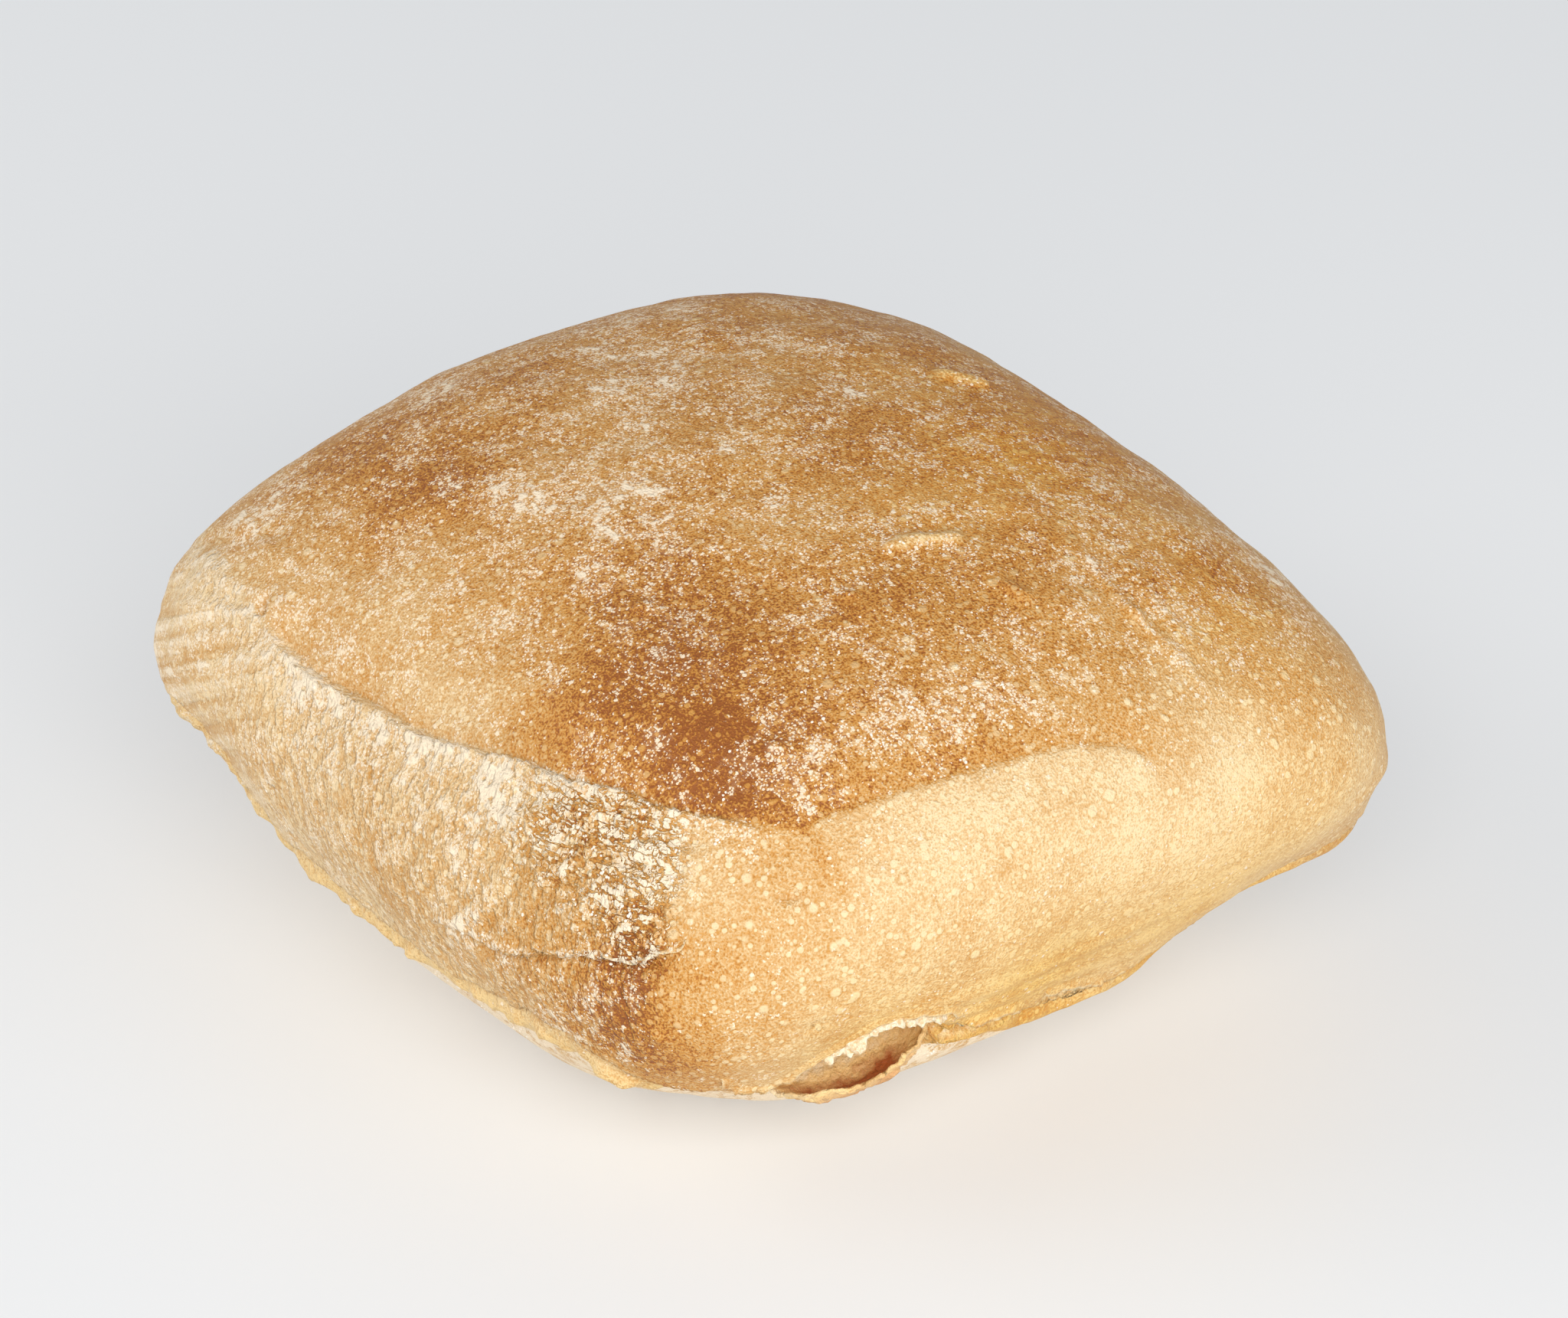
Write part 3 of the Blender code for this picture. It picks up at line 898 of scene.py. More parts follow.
def make_lip(name, edge, width, lift, thickness, material):
    """A ragged edge of torn skin that stands off the crust over the tear below it."""
    path = smooth_path(edge)
    length = np.linalg.norm(np.diff(path, axis=0), axis=1).sum()
    bm = slab(round(length / LIP_CELL), round(width / LIP_CELL))
    places = np.array([vertex.co for vertex in bm.verts])
    back = (places[:, 1] + 1) / 2
    start, run = along_path(path, (places[:, 0] + 1) / 2)
    upward = unit(np.cross(on_form(start)[1], run))
    ends = smooth_step(0, 0.1, 1 - np.abs(places[:, 0]))
    ragged = layered_noise(start, LIP_EDGE_NOISE) + 0.6 * (1 - ends)
    reach = width * back + ragged * (1 - back)
    relief, points = crust_surface(start + upward * reach[:, None])
    rise = lift * ends * (1 - back) ** 1.3 - 0.3 * back**2
    crumple = layered_noise(points, LIP_CRUMPLE_NOISE) * (1 - back)
    depth = thickness * places[:, 2] * (0.6 + 0.4 * back)
    points = points + relief.normals * (rise + crumple - depth - 0.1 * (1 - ends))[:, None]
    place_vertices(bm, points)
    lip = object_from(bm, name)
    add_looks(lip.data, relief, np.maximum(places[:, 2], smooth_step(0.12, 0.0, back)))
    ride(lip, material)


def make_bowl(material):
    """The shell left under the burst blister, ragged along its rim."""
    bm = bmesh.new()
    bmesh.ops.create_uvsphere(bm, u_segments=BOWL_CELLS, v_segments=BOWL_RINGS, radius=1.0)
    everything = bm.verts[:] + bm.edges[:] + bm.faces[:]
    cut = (0, 0, BOWL_CUT)
    bmesh.ops.bisect_plane(bm, geom=everything, plane_co=cut, plane_no=(0, 0, 1), clear_outer=True)
    copied = bmesh.ops.extrude_face_region(bm, geom=bm.faces[:] + bm.edges[:])["geom"]
    bm.verts.index_update()
    outside = np.zeros(len(bm.verts))
    outside[[item.index for item in copied if isinstance(item, bmesh.types.BMVert)]] = 1
    places = np.array([vertex.co for vertex in bm.verts])
    below_rim = smooth_step(0.0, -0.4, places[:, 2])
    swollen = 1 + layered_noise(places, BOWL_NOISE)
    wall = BOWL_THICKNESS * (0.6 + 0.4 * below_rim) * (1 + layered_noise(places, BOWL_WALL_NOISE))
    places = places * (swollen[:, None] * BOWL_RADII + (outside * wall)[:, None])
    depth = np.minimum(places[:, 2], 0)
    places[:, 2] += (1 - below_rim) * layered_noise(places, BOWL_RIM_NOISE)
    place_vertices(bm, BOWL_CENTRE + places @ BOWL_AXES)
    bowl = object_from(bm, "blister_shell")
    add_attribute(bowl.data, "rim", np.maximum(smooth_step(-0.7, 0.0, depth), outside))
    add_attribute(bowl.data, "toast", bowl_toast(places, depth))
    ride(bowl, material)


def bowl_toast(places, depth):
    """How brown the bowl is: more towards its far end and its outer wall, which has a scorched band."""
    along, across = places[:, 0], places[:, 1]
    scorched = bell(depth + 1.9, 1.4) * smooth_step(0.5, -2.0, across) * smooth_step(6.5, 2.0, along)
    return 0.24 + 0.045 * along - 0.05 * across + 0.7 * scorched


def make_rag(name, line, length, material):
    """A tattered strip of crumb that hangs straight down inside the edge of torn skin."""
    path = smooth_path(line)
    total = np.linalg.norm(np.diff(path, axis=0), axis=1).sum()
    bm = slab(round(total / RAG_CELL), round(1.6 * length / RAG_CELL))
    places = np.array([vertex.co for vertex in bm.verts])
    hang = (places[:, 1] + 1) / 2
    start, _ = along_path(path, (places[:, 0] + 1) / 2)
    outward = on_form(start)[1]
    tatter = 0.8 + layered_noise(start, RAG_EDGE_NOISE)
    ends = smooth_step(0, 0.15, 1 - np.abs(places[:, 0]))
    drop = hang * length * np.clip(tatter, 0.15, 1.3) * (0.3 + 0.7 * ends)
    points = start + np.stack((0 * drop, 0 * drop, 0.5 - drop), axis=1)
    crumple = layered_noise(points, RAG_CRUMPLE_NOISE) * np.minimum(1, 2 * hang)
    inset = 0.45 + 0.3 * places[:, 2] - 0.25 * hang
    place_vertices(bm, points + outward * (crumple - inset)[:, None])
    ride(object_from(bm, name), material)


# ---- Loose flour ----------------------------------------------------------------------------------

FLOUR_TRIES = 9000  # places round the roll where a clump of flour may lie
FLOUR_SEED = 12
LOOSE_OVER = 0.12  # how floury the crust is where the first loose flour lies
LOWEST_CLUMP = 8.0
CLUMP_GRAINS = (1, 5)  # a clump has from this many grains to one less than this
CLUMP_SPREAD = 0.22
GRAIN_RADII = (0.07, 0.17)
GRAIN_STRETCH = (0.7, 1.3)  # along each axis
GRAIN_LIFT = 0.03  # how far a grain's middle is above the skin


def make_flour(material):
    """Loose grains and small clumps of flour, thickest where the crust is flouriest."""
    picker = np.random.default_rng(FLOUR_SEED)
    relief, surface = crust_surface(CORE + picker.normal(size=(FLOUR_TRIES, 3)))
    chance = np.clip(relief.flour() - LOOSE_OVER, 0, 1)
    chance *= (relief.hole > 1.1) & (relief.base[:, 2] > LOWEST_CLUMP)
    bm = bmesh.new()
    for index in np.flatnonzero(picker.random(FLOUR_TRIES) < chance):
        outward = relief.normals[index]
        for _ in range(picker.integers(*CLUMP_GRAINS)):
            made = bmesh.ops.create_icosphere(bm, subdivisions=1, radius=1.0)["verts"]
            size = picker.uniform(*GRAIN_RADII) * picker.uniform(*GRAIN_STRETCH, 3)
            beside = picker.normal(0, CLUMP_SPREAD, 3)
            middle = surface[index] + beside + (GRAIN_LIFT - beside @ outward) * outward
            for vertex in made:
                vertex.co = Vector(middle + size * np.array(vertex.co)) * MM
    ride(object_from(bm, "flour_grains"), material)


# ---- Shader helpers -------------------------------------------------------------------------------


def put(tree, kind, inputs=None, **settings):
    """Adds a shader node. Its inputs are values, or sockets to link from."""
    made = tree.nodes.new(kind)
    for name, value in settings.items():
        setattr(made, name, value)
    for name, value in (inputs or {}).items():
        socket = made.inputs[name]
        if isinstance(value, bpy.types.NodeSocket):
            tree.links.new(value, socket)
        else:
            socket.default_value = value
    return made


def sums(tree, operation, *values, clamp=False):
    """The result of a Math node."""
    inputs = dict(enumerate(values))
    return put(tree, "ShaderNodeMath", inputs, operation=operation, use_clamp=clamp).outputs[0]


def added(tree, first, *others):
    """A value with others added to it."""
    for value in others:
        first = sums(tree, "ADD", first, value)
    return first


def centred(tree, value, span):
    """A value from 0 to 1 spread over a span around 0."""
    return sums(tree, "MULTIPLY_ADD", value, span, -span / 2)


def mapped(tree, value, low, high, start=0.0, end=1.0, kind="LINEAR"):
    """A value mapped from low..high to start..end, and held at the ends beyond them."""
    inputs = {"Value": value, "From Min": low, "From Max": high, "To Min": start, "To Max": end}
    return put(tree, "ShaderNodeMapRange", inputs, interpolation_type=kind).outputs["Result"]


def stepped(tree, value, low, high, start=0.0, end=1.0):
    """A value mapped smoothly from low..high to start..end."""
    return mapped(tree, value, low, high, start, end, "SMOOTHSTEP")


def blended(tree, share, first, second, blend="MIX"):
    """Two colours mixed by a share."""
    made = put(tree, "ShaderNodeMix", data_type="RGBA", blend_type=blend)
    for socket, value in ((made.inputs[0], share), (made.inputs[6], first), (made.inputs[7], second)):
        if isinstance(value, bpy.types.NodeSocket):
            tree.links.new(value, socket)
        else:
            socket.default_value = value
    return made.outputs[2]


def noise(tree, vector, size, detail=2.0, roughness=0.5, output="Fac"):
    """Noise whose features are about this many millimetres across."""
    inputs = {"Vector": vector, "Scale": 1 / size, "Detail": detail, "Roughness": roughness}
    return put(tree, "ShaderNodeTexNoise", inputs).outputs[output]


def attribute(tree, name):
    """A value stored on the points of the piece."""
    return put(tree, "ShaderNodeAttribute", attribute_name=name).outputs["Fac"]


def in_millimetres(tree):
    """Object coordinates in millimetres."""
    place = put(tree, "ShaderNodeTexCoord").outputs["Object"]
    return put(tree, "ShaderNodeVectorMath", {0: place, "Scale": 1 / MM}, operation="SCALE").outputs[0]


def linear(red, green, blue):
    """A colour given in display values of 0 to 255, as a shader needs it."""
    shares = [value / 255 for value in (red, green, blue)]
    return tuple(((share + 0.055) / 1.055) ** 2.4 for share in shares) + (1.0,)


def colour_ramp(tree, share, stops):
    """A colour from a row of stops: the place of each from 0 to 1, and its display values."""
    made = put(tree, "ShaderNodeValToRGB", {"Fac": share})
    elements = made.color_ramp.elements
    while len(elements) < len(stops):
        elements.new(1.0)
    for element, (place, shade) in zip(elements, stops):
        element.position = place
        element.color = linear(*shade)
    return made.outputs["Color"]


def add_bump(tree, shader, height, depth, strength=1.0):
    """Bumps for a height: this deep in metres where the height is 1."""
    bump = put(tree, "ShaderNodeBump", {"Height": height, "Distance": depth, "Strength": strength})
    tree.links.new(bump.outputs["Normal"], shader.inputs["Normal"])


def new_material(name):
    """A new material, with its nodes and its shader."""
    material = bpy.data.materials.new(name)
    material.use_nodes = True
    tree = material.node_tree
    return material, tree, tree.nodes["Principled BSDF"]


def new_group(name, inputs, outputs):
    """A shader node group. Inputs are names with default values, outputs are names with types."""
    tree = bpy.data.node_groups.new(name, "ShaderNodeTree")
    kinds = {float: "NodeSocketFloat", tuple: "NodeSocketVector"}
    for label, default in inputs.items():
        socket = tree.interface.new_socket(label, in_out="INPUT", socket_type=kinds[type(default)])
        socket.default_value = default
    for label, kind in outputs.items():
        tree.interface.new_socket(label, in_out="OUTPUT", socket_type=kind)
    return tree, put(tree, "NodeGroupInput").outputs, put(tree, "NodeGroupOutput").inputs


def use_group(tree, group, **inputs):
    """Places a node group. Its inputs are values, or sockets to link from."""
    made = tree.nodes.new("ShaderNodeGroup")
    made.node_tree = group
    for name, value in inputs.items():
        socket = made.inputs[name.replace("_", " ").capitalize()]
        if isinstance(value, bpy.types.NodeSocket):
            tree.links.new(value, socket)
        else:
            socket.default_value = value
    return made.outputs


# ---- Effects of the bread's materials -------------------------------------------------------------

# The crust from pale to dark: places from 0 to 1, and display values.
BAKED_SHADES = (
    (0.0, (235, 209, 165)),
    (0.2, (220, 185, 134)),
    (0.4, (208, 163, 104)),
    (0.6, (203, 146, 71)),
    (0.8, (181, 117, 43)),
    (1.0, (146, 82, 30)),
)
# The inside of the burst blister's shell, from pale to scorched.
SHELL_SHADES = (
    (0.0, (244, 230, 202)),
    (0.5, (250, 210, 142)),
    (1.0, (176, 92, 42)),
)
GOLD_TINT = linear(255, 238, 178)
FLOUR_WHITE = linear(246, 227, 198)
FILM_CREAM = linear(230, 190, 146)
TORN_CRUMB = (linear(216, 160, 92), linear(250, 230, 184))  # in its pores, and on top
OPEN_CRUMB = (linear(222, 186, 134), linear(250, 236, 206))
SHELL_SCALES = linear(236, 200, 138)
LOOSE_FLOUR = (linear(250, 243, 231), linear(236, 222, 200))


def baked_colour_group():
    """The colour of crust from pale to dark, turned yellower by Gold."""
    outputs = {"Color": "NodeSocketColor"}
    tree, given, result = new_group("baked_colour", {"Bake": 0.5, "Gold": 0.0}, outputs)
    baked = colour_ramp(tree, given["Bake"], BAKED_SHADES)
    yellow = blended(tree, given["Gold"], baked, GOLD_TINT, "MULTIPLY")
    tree.links.new(yellow, result["Color"])
    return tree


def micro_blister_group():
    """Small round blisters in the skin: where they are, their edges, and their height in mm."""
    inputs = {"Vector": (0.0, 0.0, 0.0), "Spacing": 1.8, "Cover": 0.5, "Size": 0.4}
    outputs = {"Mask": "NodeSocketFloat", "Rim": "NodeSocketFloat", "Height": "NodeSocketFloat"}
    tree, given, result = new_group("micro_blisters", inputs, outputs)
    scale = sums(tree, "DIVIDE", 1.0, given["Spacing"])
    cells = put(tree, "ShaderNodeTexVoronoi", {"Vector": given["Vector"], "Scale": scale})
    chance = put(tree, "ShaderNodeSeparateColor", {"Color": cells.outputs["Color"]}).outputs[0]
    empty = sums(tree, "SUBTRACT", 1.0, given["Cover"])
    share = sums(tree, "DIVIDE", sums(tree, "SUBTRACT", chance, empty), given["Cover"], clamp=True)
    radius = sums(tree, "MULTIPLY", sums(tree, "POWER", share, 0.5), given["Size"])
    inside = sums(tree, "SUBTRACT", radius, cells.outputs["Distance"])
    mask = stepped(tree, inside, -0.05, 0.12)
    tree.links.new(mask, result["Mask"])
    rim = sums(tree, "MULTIPLY", stepped(tree, inside, -0.14, 0.0), sums(tree, "SUBTRACT", 1.0, mask))
    tree.links.new(sums(tree, "MULTIPLY", rim, stepped(tree, radius, 0.0, 0.1)), result["Rim"])
    dome = sums(tree, "MULTIPLY", stepped(tree, inside, -0.12, 0.25), given["Spacing"])
    tree.links.new(sums(tree, "MULTIPLY", dome, 0.05), result["Height"])
    return tree


def dots(tree, vector, size, density, radius):
    """Scattered dots about this many mm apart, more of them where denser: 1 inside, 0 outside."""
    cells = put(tree, "ShaderNodeTexVoronoi", {"Vector": vector, "Scale": 1 / size})
    chances = put(tree, "ShaderNodeSeparateColor", {"Color": cells.outputs["Color"]}).outputs
    present = sums(tree, "LESS_THAN", chances[0], density)
    reach = sums(tree, "MULTIPLY_ADD", chances[1], 0.5 * radius, 0.6 * radius)
    inside = stepped(tree, sums(tree, "SUBTRACT", reach, cells.outputs["Distance"]), -0.10, 0.10)
    return sums(tree, "MULTIPLY", inside, present)


def flour_dust_group():
    """Flour on the crust: a thin film, and white grains and cakes of it with a height in mm."""
    inputs = {"Vector": (0.0, 0.0, 0.0), "Amount": 0.3}
    outputs = {"Film": "NodeSocketFloat", "Grains": "NodeSocketFloat", "Height": "NodeSocketFloat"}
    tree, given, result = new_group("flour_dust", inputs, outputs)
    wander = noise(tree, given["Vector"], 0.35, 1.0, output="Color")
    wander = put(tree, "ShaderNodeVectorMath", {0: wander, "Scale": 0.22}, operation="SCALE").outputs[0]
    moved = put(tree, "ShaderNodeVectorMath", {0: given["Vector"], 1: wander}, operation="ADD")
    vector = moved.outputs[0]
    broad = noise(tree, vector, 4.0, 1.0)
    clumps = noise(tree, vector, 1.1, 2.0, 0.6)
    mixed = sums(tree, "MULTIPLY_ADD", clumps, 0.6, sums(tree, "MULTIPLY", broad, 0.4))
    bar = mapped(tree, given["Amount"], 0.0, 0.7, 0.70, 0.36)
    over = sums(tree, "SUBTRACT", mixed, bar)
    density = stepped(tree, over, -0.14, 0.10, 0.01, 0.8)
    fine = sums(tree, "MULTIPLY", dots(tree, vector, 0.23, density, 0.55), 0.85)
    sparse = sums(tree, "MULTIPLY", density, 0.3)
    coarse = sums(tree, "MULTIPLY", dots(tree, vector, 0.45, sparse, 0.5), 0.9)
    cake = stepped(tree, over, 0.08, 0.15)
    grains = sums(tree, "MAXIMUM", sums(tree, "MAXIMUM", fine, coarse), cake)
    tree.links.new(grains, result["Grains"])
    tree.links.new(stepped(tree, over, -0.10, 0.12, 0.0, 0.5), result["Film"])
    height = sums(tree, "MULTIPLY", sums(tree, "ADD", coarse, cake), 0.05)
    tree.links.new(sums(tree, "MULTIPLY_ADD", fine, 0.02, height), result["Height"])
    return tree


def skin_grain_group():
    """The fine grain of baked dough: its tone from 0 to 1, and its height in mm."""
    inputs = {"Vector": (0.0, 0.0, 0.0)}
    outputs = {"Tone": "NodeSocketFloat", "Height": "NodeSocketFloat"}
    tree, given, result = new_group("skin_grain", inputs, outputs)
    coarse = noise(tree, given["Vector"], 0.55, 2.0, 0.6)
    fine = noise(tree, given["Vector"], 0.21, 1.0, 0.5)
    tone = sums(tree, "MULTIPLY_ADD", coarse, 0.36, sums(tree, "MULTIPLY", fine, 0.64))
    tree.links.new(mapped(tree, tone, 0.36, 0.64), result["Tone"])
    tree.links.new(sums(tree, "MULTIPLY", tone, 0.30), result["Height"])
    return tree


GROUPS = {
    "colour": baked_colour_group(),
    "blisters": micro_blister_group(),
    "flour": flour_dust_group(),
    "grain": skin_grain_group(),
}


# ---- Materials ------------------------------------------------------------------------------------


def stretched(tree, place, shares):
    """Coordinates scaled along each axis: less than 1 draws a pattern out, more than 1 squeezes it."""
    return put(tree, "ShaderNodeVectorMath", {0: place, 1: shares}, operation="MULTIPLY").outputs[0]


def crack_lines(tree, place):
    """Winding cracks, mostly level: 1 in a crack, 0 beside it."""
    level = noise(tree, stretched(tree, place, (0.35, 0.45, 1.0)), 1.0, 3.0, 0.6)
    upright = noise(tree, stretched(tree, place, (1.0, 0.8, 0.45)), 1.2, 3.0, 0.6)
    lines = [sums(tree, "ABSOLUTE", sums(tree, "SUBTRACT", line, 0.5)) for line in (level, upright)]
    wide, narrow = stepped(tree, lines[0], 0.05, 0.012), stepped(tree, lines[1], 0.022, 0.006)
    return sums(tree, "MAXIMUM", wide, narrow)


def bark_ridges(tree, place):
    """Short ridges that lean to the right as they rise, from -0.5 to 0.5."""
    turned = put(tree, "ShaderNodeVectorRotate", {"Vector": place, "Angle": 0.35}, rotation_type="Y_AXIS")
    ridges = noise(tree, stretched(tree, turned.outputs[0], (1.0, 0.6, 0.5)), 0.8, 2.0, 0.6)
    return sums(tree, "SUBTRACT", stepped(tree, ridges, 0.36, 0.64), 0.5)


def lying_along(tree, place, direction):
    """How far places lie along a direction."""
    made = put(tree, "ShaderNodeVectorMath", {0: place, 1: direction}, operation="DOT_PRODUCT")
    return made.outputs["Value"]


def slack_ridges(tree, place):
    """Long pale ridges in slack skin, from about -0.4 to 0.4: pale with real flour on their crests, and
    with painted shade, a browner bake, in the hollows between them.
    """
    run = lying_along(tree, place, 0.1 * RIDGE_RUN)
    across = lying_along(tree, place, RIDGE_ACROSS)
    drawn_out = put(tree, "ShaderNodeCombineXYZ", {"X": run, "Y": across}).outputs[0]
    return sums(tree, "SUBTRACT", noise(tree, drawn_out, 1.7, 2.0, 0.6), 0.5)


# What each pattern in the crust changes where it is strongest: flour, bake, and height in mm.
PATTERN_EFFECTS = {
    # The slack ridges' bake change is painted shade: it browns the hollows between the ridges and pales
    # their crests. Their flour and height are real.
    "slack": {"flour": 1.8, "bake": -1.3, "height": 1.0},
    "bark": {"flour": 0.30, "bake": -0.20, "height": 0.32},
    "cracked": {"flour": -1.2, "bake": 0.45, "height": -0.2},
}
LARGE_BLISTERS = {"spacing": 2.0, "cover": 0.4, "size": 0.30}
SMALL_BLISTERS = {"spacing": 0.85, "cover": 0.75, "size": 0.42}
# What each of these adds to how brown the skin is.
LARGE_BLISTER_BAKE = {"Mask": -0.33, "Rim": 0.13}
SMALL_BLISTER_BAKE = {"Mask": -0.35, "Rim": 0.10}
WEAL_BAKE = -0.35
# How far each of these spreads it, from its palest to its brownest.
MOTTLE_SPREAD = 0.34
SPECK_SPREAD = 0.20
GRAIN_SPREAD = -0.62  # a high tone is pale
STREAK_SPREAD = 0.825
STREAK_PALEST = -0.375  # what the palest streak adds


def crust_patterns(tree, place):
    """The crust's patterns, each as strong as the attribute that it is named for says."""
    shapes = {
        "slack": slack_ridges(tree, place),
        "bark": bark_ridges(tree, place),
        "cracked": crack_lines(tree, place),
    }
    return {name: sums(tree, "MULTIPLY", shape, attribute(tree, name)) for name, shape in shapes.items()}


def with_patterns(tree, value, patterns, effect):
    """A value changed by the effect that each pattern has on it."""
    for name, strength in patterns.items():
        value = sums(tree, "MULTIPLY_ADD", strength, PATTERN_EFFECTS[name][effect], value)
    return value


def golden_streaks(tree, place, gold):
    """Streaks of paler and browner skin where it is stretched."""
    drawn_out = noise(tree, stretched(tree, place, (1.0, 0.22, 1.1)), 1.3, 3.0, 0.6)
    streaks = sums(tree, "MULTIPLY_ADD", drawn_out, STREAK_SPREAD, STREAK_PALEST)
    return sums(tree, "MULTIPLY", streaks, gold)


def skin_shade(tree, place, gold, grain, large, small, patterns):
    """How brown the skin is at each place: its bake, made uneven by everything in the skin."""
    bake = attribute(tree, "bake")
    mottle = centred(tree, noise(tree, place, 6.5, 3.0, 0.55), MOTTLE_SPREAD)
    speck = centred(tree, noise(tree, place, 1.3, 2.0, 0.5), SPECK_SPREAD)
    plain = sums(tree, "SUBTRACT", 1.0, sums(tree, "MAXIMUM", large["Mask"], small["Mask"]))
    tone = sums(tree, "MULTIPLY", centred(tree, grain["Tone"], GRAIN_SPREAD), plain)
    tone = sums(tree, "MULTIPLY", tone, stepped(tree, bake, 0.1, 0.55, 0.65, 1.0))
    shade = added(tree, bake, mottle, speck, tone, golden_streaks(tree, place, gold))
    shade = with_patterns(tree, shade, patterns, "bake")
    for blisters, changes in ((large, LARGE_BLISTER_BAKE), (small, SMALL_BLISTER_BAKE)):
        for output, change in changes.items():
            shade = sums(tree, "MULTIPLY_ADD", blisters[output], change, shade)
    return sums(tree, "MULTIPLY_ADD", attribute(tree, "weal"), WEAL_BAKE, shade, clamp=True)


def crust_material():
    """Golden crust: mottled bake, micro-blisters, fine grain, flour, and open crumb in its tears."""
    material, tree, shader = new_material("golden_crust")
    place = in_millimetres(tree)
    gold, crumb = attribute(tree, "gold"), attribute(tree, "crumb")
    patterns = crust_patterns(tree, place)
    grain = use_group(tree, GROUPS["grain"], vector=place)
    large = use_group(tree, GROUPS["blisters"], vector=place, **LARGE_BLISTERS)
    small = use_group(tree, GROUPS["blisters"], vector=place, **SMALL_BLISTERS)
    flour = with_patterns(tree, attribute(tree, "flour"), patterns, "flour")
    dust = use_group(tree, GROUPS["flour"], vector=place, amount=flour)

    shade = skin_shade(tree, place, gold, grain, large, small, patterns)
    baked = use_group(tree, GROUPS["colour"], bake=shade, gold=gold)["Color"]
    pores = noise(tree, place, 0.8, 4.0, 0.65)
    colour = blended(tree, crumb, baked, blended(tree, stepped(tree, pores, 0.35, 0.6), *TORN_CRUMB))
    colour = blended(tree, sums(tree, "MULTIPLY", dust["Film"], 0.45), colour, FILM_CREAM)
    colour = blended(tree, dust["Grains"], colour, FLOUR_WHITE)
    tree.links.new(colour, shader.inputs["Base Color"])

    rough = stepped(tree, grain["Tone"], 0.3, 0.7, 0.46, 0.66)
    rough = sums(tree, "MAXIMUM", rough, sums(tree, "MULTIPLY", dust["Grains"], 0.95))
    tree.links.new(rough, shader.inputs["Roughness"])
    shader.inputs["Specular IOR Level"].default_value = 0.3

    height = added(tree, large["Height"], small["Height"], grain["Height"], dust["Height"])
    height = with_patterns(tree, height, patterns, "height")
    height = sums(tree, "MULTIPLY_ADD", sums(tree, "MULTIPLY", crumb, pores), 0.35, height)
    add_bump(tree, shader, height, MM, 0.9)
    return material


def shell_material():
    """The inside of the burst blister: glazed, beige to orange, with pale scales and a pale rim."""
    material, tree, shader = new_material("glazed_shell")
    place = in_millimetres(tree)
    spots = noise(tree, place, 1.1, 3.0, 0.6)
    toast = sums(tree, "ADD", attribute(tree, "toast"), centred(tree, spots, 0.8))
    scales = stepped(tree, noise(tree, place, 0.45, 2.0, 0.6), 0.5, 0.68)
    scales = sums(tree, "MULTIPLY", scales, stepped(tree, toast, 0.9, 0.5))
    scales = sums(tree, "MAXIMUM", scales, sums(tree, "MULTIPLY", attribute(tree, "rim"), 0.8))
    toasted = colour_ramp(tree, toast, SHELL_SHADES)
    colour = blended(tree, sums(tree, "MULTIPLY", scales, 0.6), toasted, SHELL_SCALES)
    tree.links.new(colour, shader.inputs["Base Color"])
    tree.links.new(stepped(tree, spots, 0.35, 0.65, 0.28, 0.6), shader.inputs["Roughness"])
    fine = noise(tree, place, 0.5, 3.0, 0.6)
    height = sums(tree, "MULTIPLY", sums(tree, "ADD", fine, spots), 0.5)
    add_bump(tree, shader, height, MM, 0.8)
    return material


def crumb_material():
    """Open crumb: spongy, cream to white."""
    material, tree, shader = new_material("white_crumb")
    pores = noise(tree, in_millimetres(tree), 0.6, 4.0, 0.65)
    colour = blended(tree, stepped(tree, pores, 0.38, 0.6), *OPEN_CRUMB)
    tree.links.new(colour, shader.inputs["Base Color"])
    shader.inputs["Roughness"].default_value = 0.7
    shader.inputs["Subsurface Weight"].default_value = 0.15
    shader.inputs["Subsurface Radius"].default_value = (0.0012, 0.0007, 0.0004)
    add_bump(tree, shader, pores, 0.5 * MM)
    return material


def flour_material():
    """Loose flour: matt white with a faint warm shade."""
    material, tree, shader = new_material("loose_flour")
    place = in_millimetres(tree)
    colour = blended(tree, noise(tree, place, 0.5), *LOOSE_FLOUR)
    tree.links.new(colour, shader.inputs["Base Color"])
    shader.inputs["Roughness"].default_value = 0.95
    add_bump(tree, shader, noise(tree, place, 0.15), 0.05 * MM)
    return material


def table_material():
    """A pale plain table that glows a little, as one lit from all sides does."""
    material, _, shader = new_material("pale_table")
    shader.inputs["Base Color"].default_value = (0.6, 0.6, 0.6, 1.0)
    shader.inputs["Roughness"].default_value = 0.4
    shader.inputs["Specular IOR Level"].default_value = 0.25
    shader.inputs["Emission Color"].default_value = (0.95, 0.98, 1.0, 1.0)
    shader.inputs["Emission Strength"].default_value = 0.27
    return material


# ---- The setting ----------------------------------------------------------------------------------


TABLE_HALF_SIDE = 3.0  # in metres, as are the lights' places and sizes below
# Soft boxes: name, place, side, watts and colour.
SOFT_BOXES = (
    ("key", (0.55, -0.35, 0.40), 0.5, 4.0, (1.0, 0.985, 0.96)),
    ("left_fill", (-0.5, -0.6, 0.35), 0.6, 2.6, (1.0, 0.97, 0.92)),
    ("right_low", (0.7, 0.1, 0.2), 0.4, 1.45, (1.0, 1.0, 1.0)),
)
LIT_POINT = (0.0, 0.0, 0.02)  # all the soft boxes face this
SKY_COLOUR = (0.90, 0.94, 1.0, 1.0)
SKY_STRENGTH = 0.48


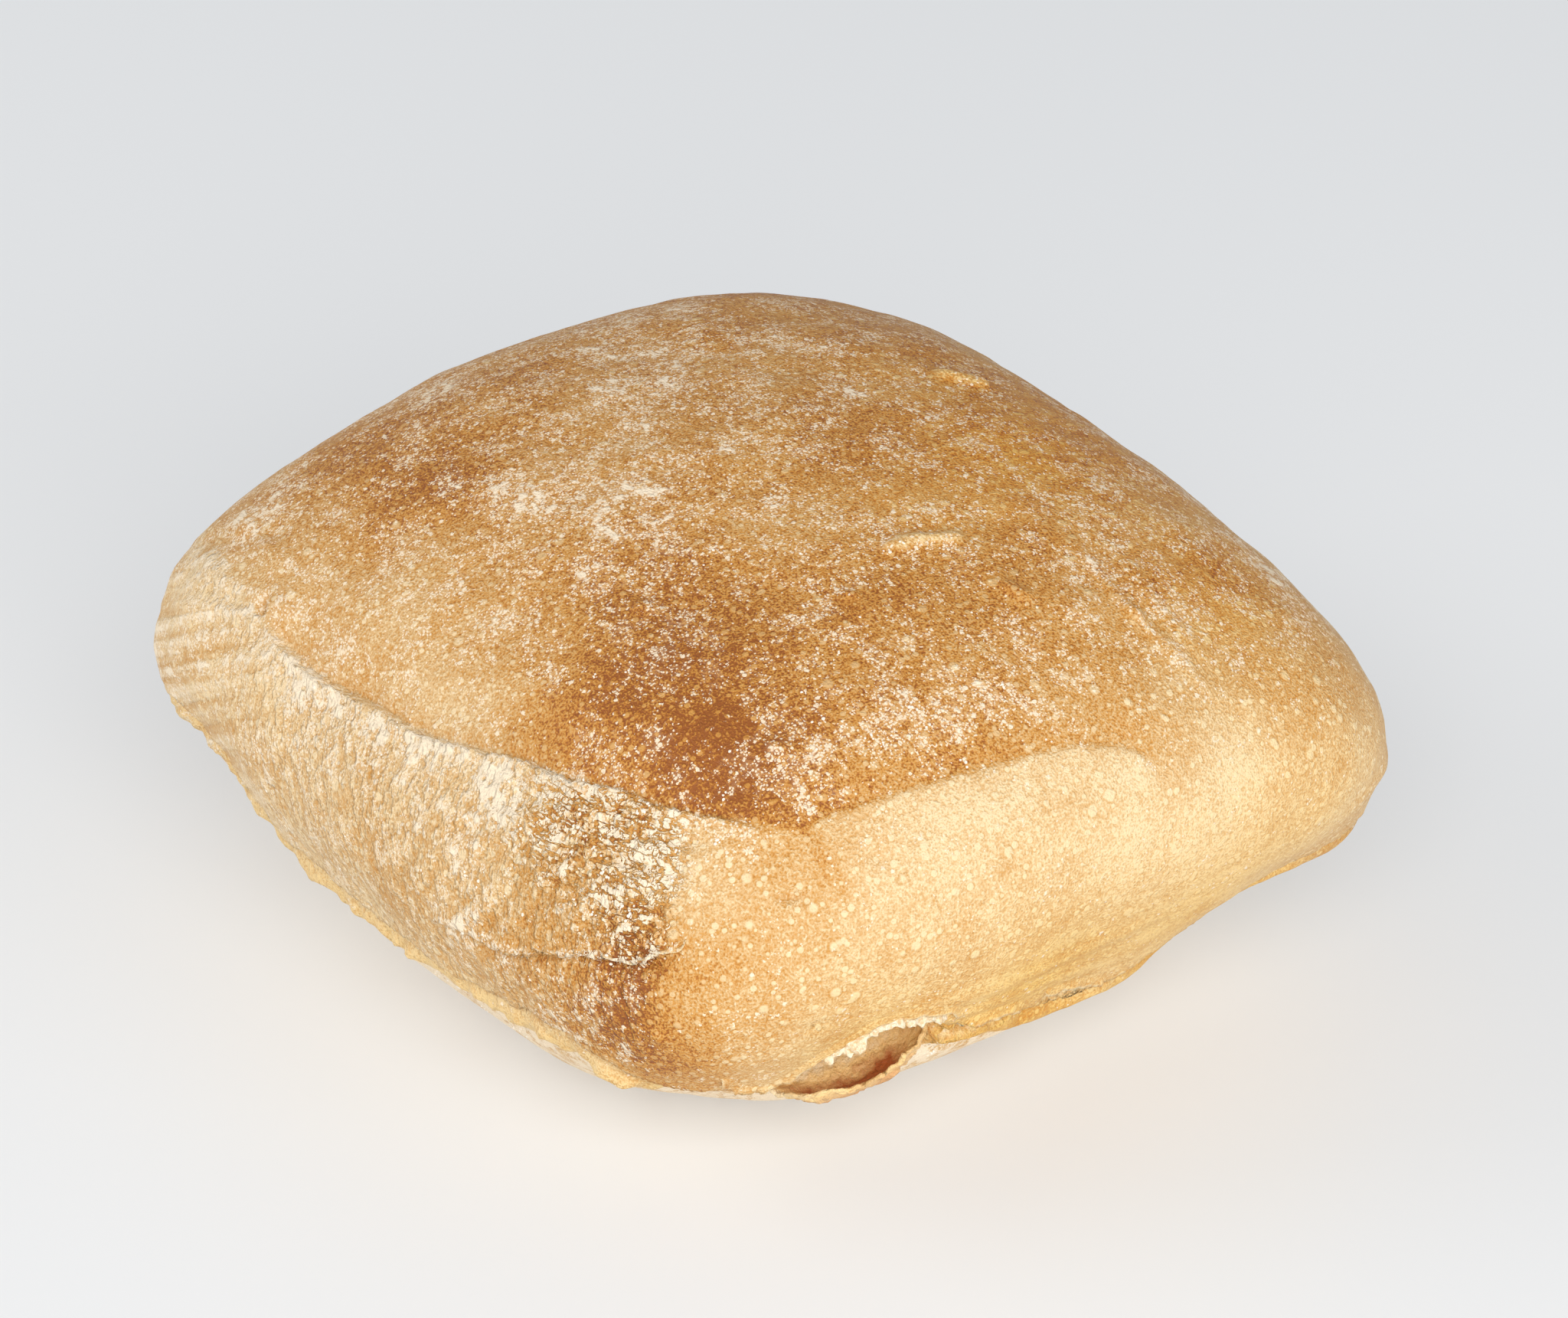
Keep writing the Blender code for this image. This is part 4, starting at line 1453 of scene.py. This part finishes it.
def make_table():
    """The table that the roll rests on."""
    bm = bmesh.new()
    bmesh.ops.create_grid(bm, x_segments=1, y_segments=1, size=TABLE_HALF_SIDE)
    table = object_from(bm, "table", smooth=False)
    table.data.materials.append(table_material())


def camera_axes():
    """The camera's right, up and back directions."""
    turn, tilt = math.radians(VIEW_BEARING), math.radians(VIEW_SLOPE)
    right = Vector((math.cos(turn), math.sin(turn), 0))
    flat = math.cos(tilt)
    back = Vector((math.sin(turn) * flat, -math.cos(turn) * flat, math.sin(tilt)))
    return right, back.cross(right), back


def make_camera():
    """A long lens that looks down at the near corner."""
    right, up, back = camera_axes()
    data = bpy.data.cameras.new("view")
    data.lens = LENS
    data.clip_start = 0.01
    data.clip_end = 20
    camera = bpy.data.objects.new("view", data)
    aim = (Vector(CORE) + up * AIM_UP + right * AIM_RIGHT) * MM
    camera.location = aim + back * VIEW_DISTANCE * MM
    camera.rotation_euler = back.to_track_quat("Z", "Y").to_euler()
    bpy.context.scene.collection.objects.link(camera)
    bpy.context.scene.camera = camera


def add_light(name, place, side, watts, colour):
    """A square soft box that faces the roll."""
    data = bpy.data.lights.new(name, "AREA")
    data.shape = "SQUARE"
    data.size = side
    data.energy = watts
    data.color = colour
    light = bpy.data.objects.new(name, data)
    light.location = place
    light.rotation_euler = (Vector(place) - Vector(LIT_POINT)).to_track_quat("Z", "Y").to_euler()
    bpy.context.scene.collection.objects.link(light)


def make_light():
    """A pale sky all round, and the soft boxes."""
    world = bpy.data.worlds.new("studio")
    world.use_nodes = True
    background = world.node_tree.nodes["Background"]
    background.inputs["Color"].default_value = SKY_COLOUR
    background.inputs["Strength"].default_value = SKY_STRENGTH
    bpy.context.scene.world = world
    bpy.context.scene.view_settings.view_transform = "Standard"
    for box in SOFT_BOXES:
        add_light(*box)


def main():
    make_camera()
    make_light()
    make_table()
    skin, crumb = crust_material(), crumb_material()
    make_crust(skin)
    for name, (edge, width, lift, thickness) in LIPS.items():
        make_lip(name, edge, width, lift, thickness, skin)
    make_bowl(shell_material())
    for name, (line, length) in RAGS.items():
        make_rag(name, line, length, crumb)
    make_flour(flour_material())


main()
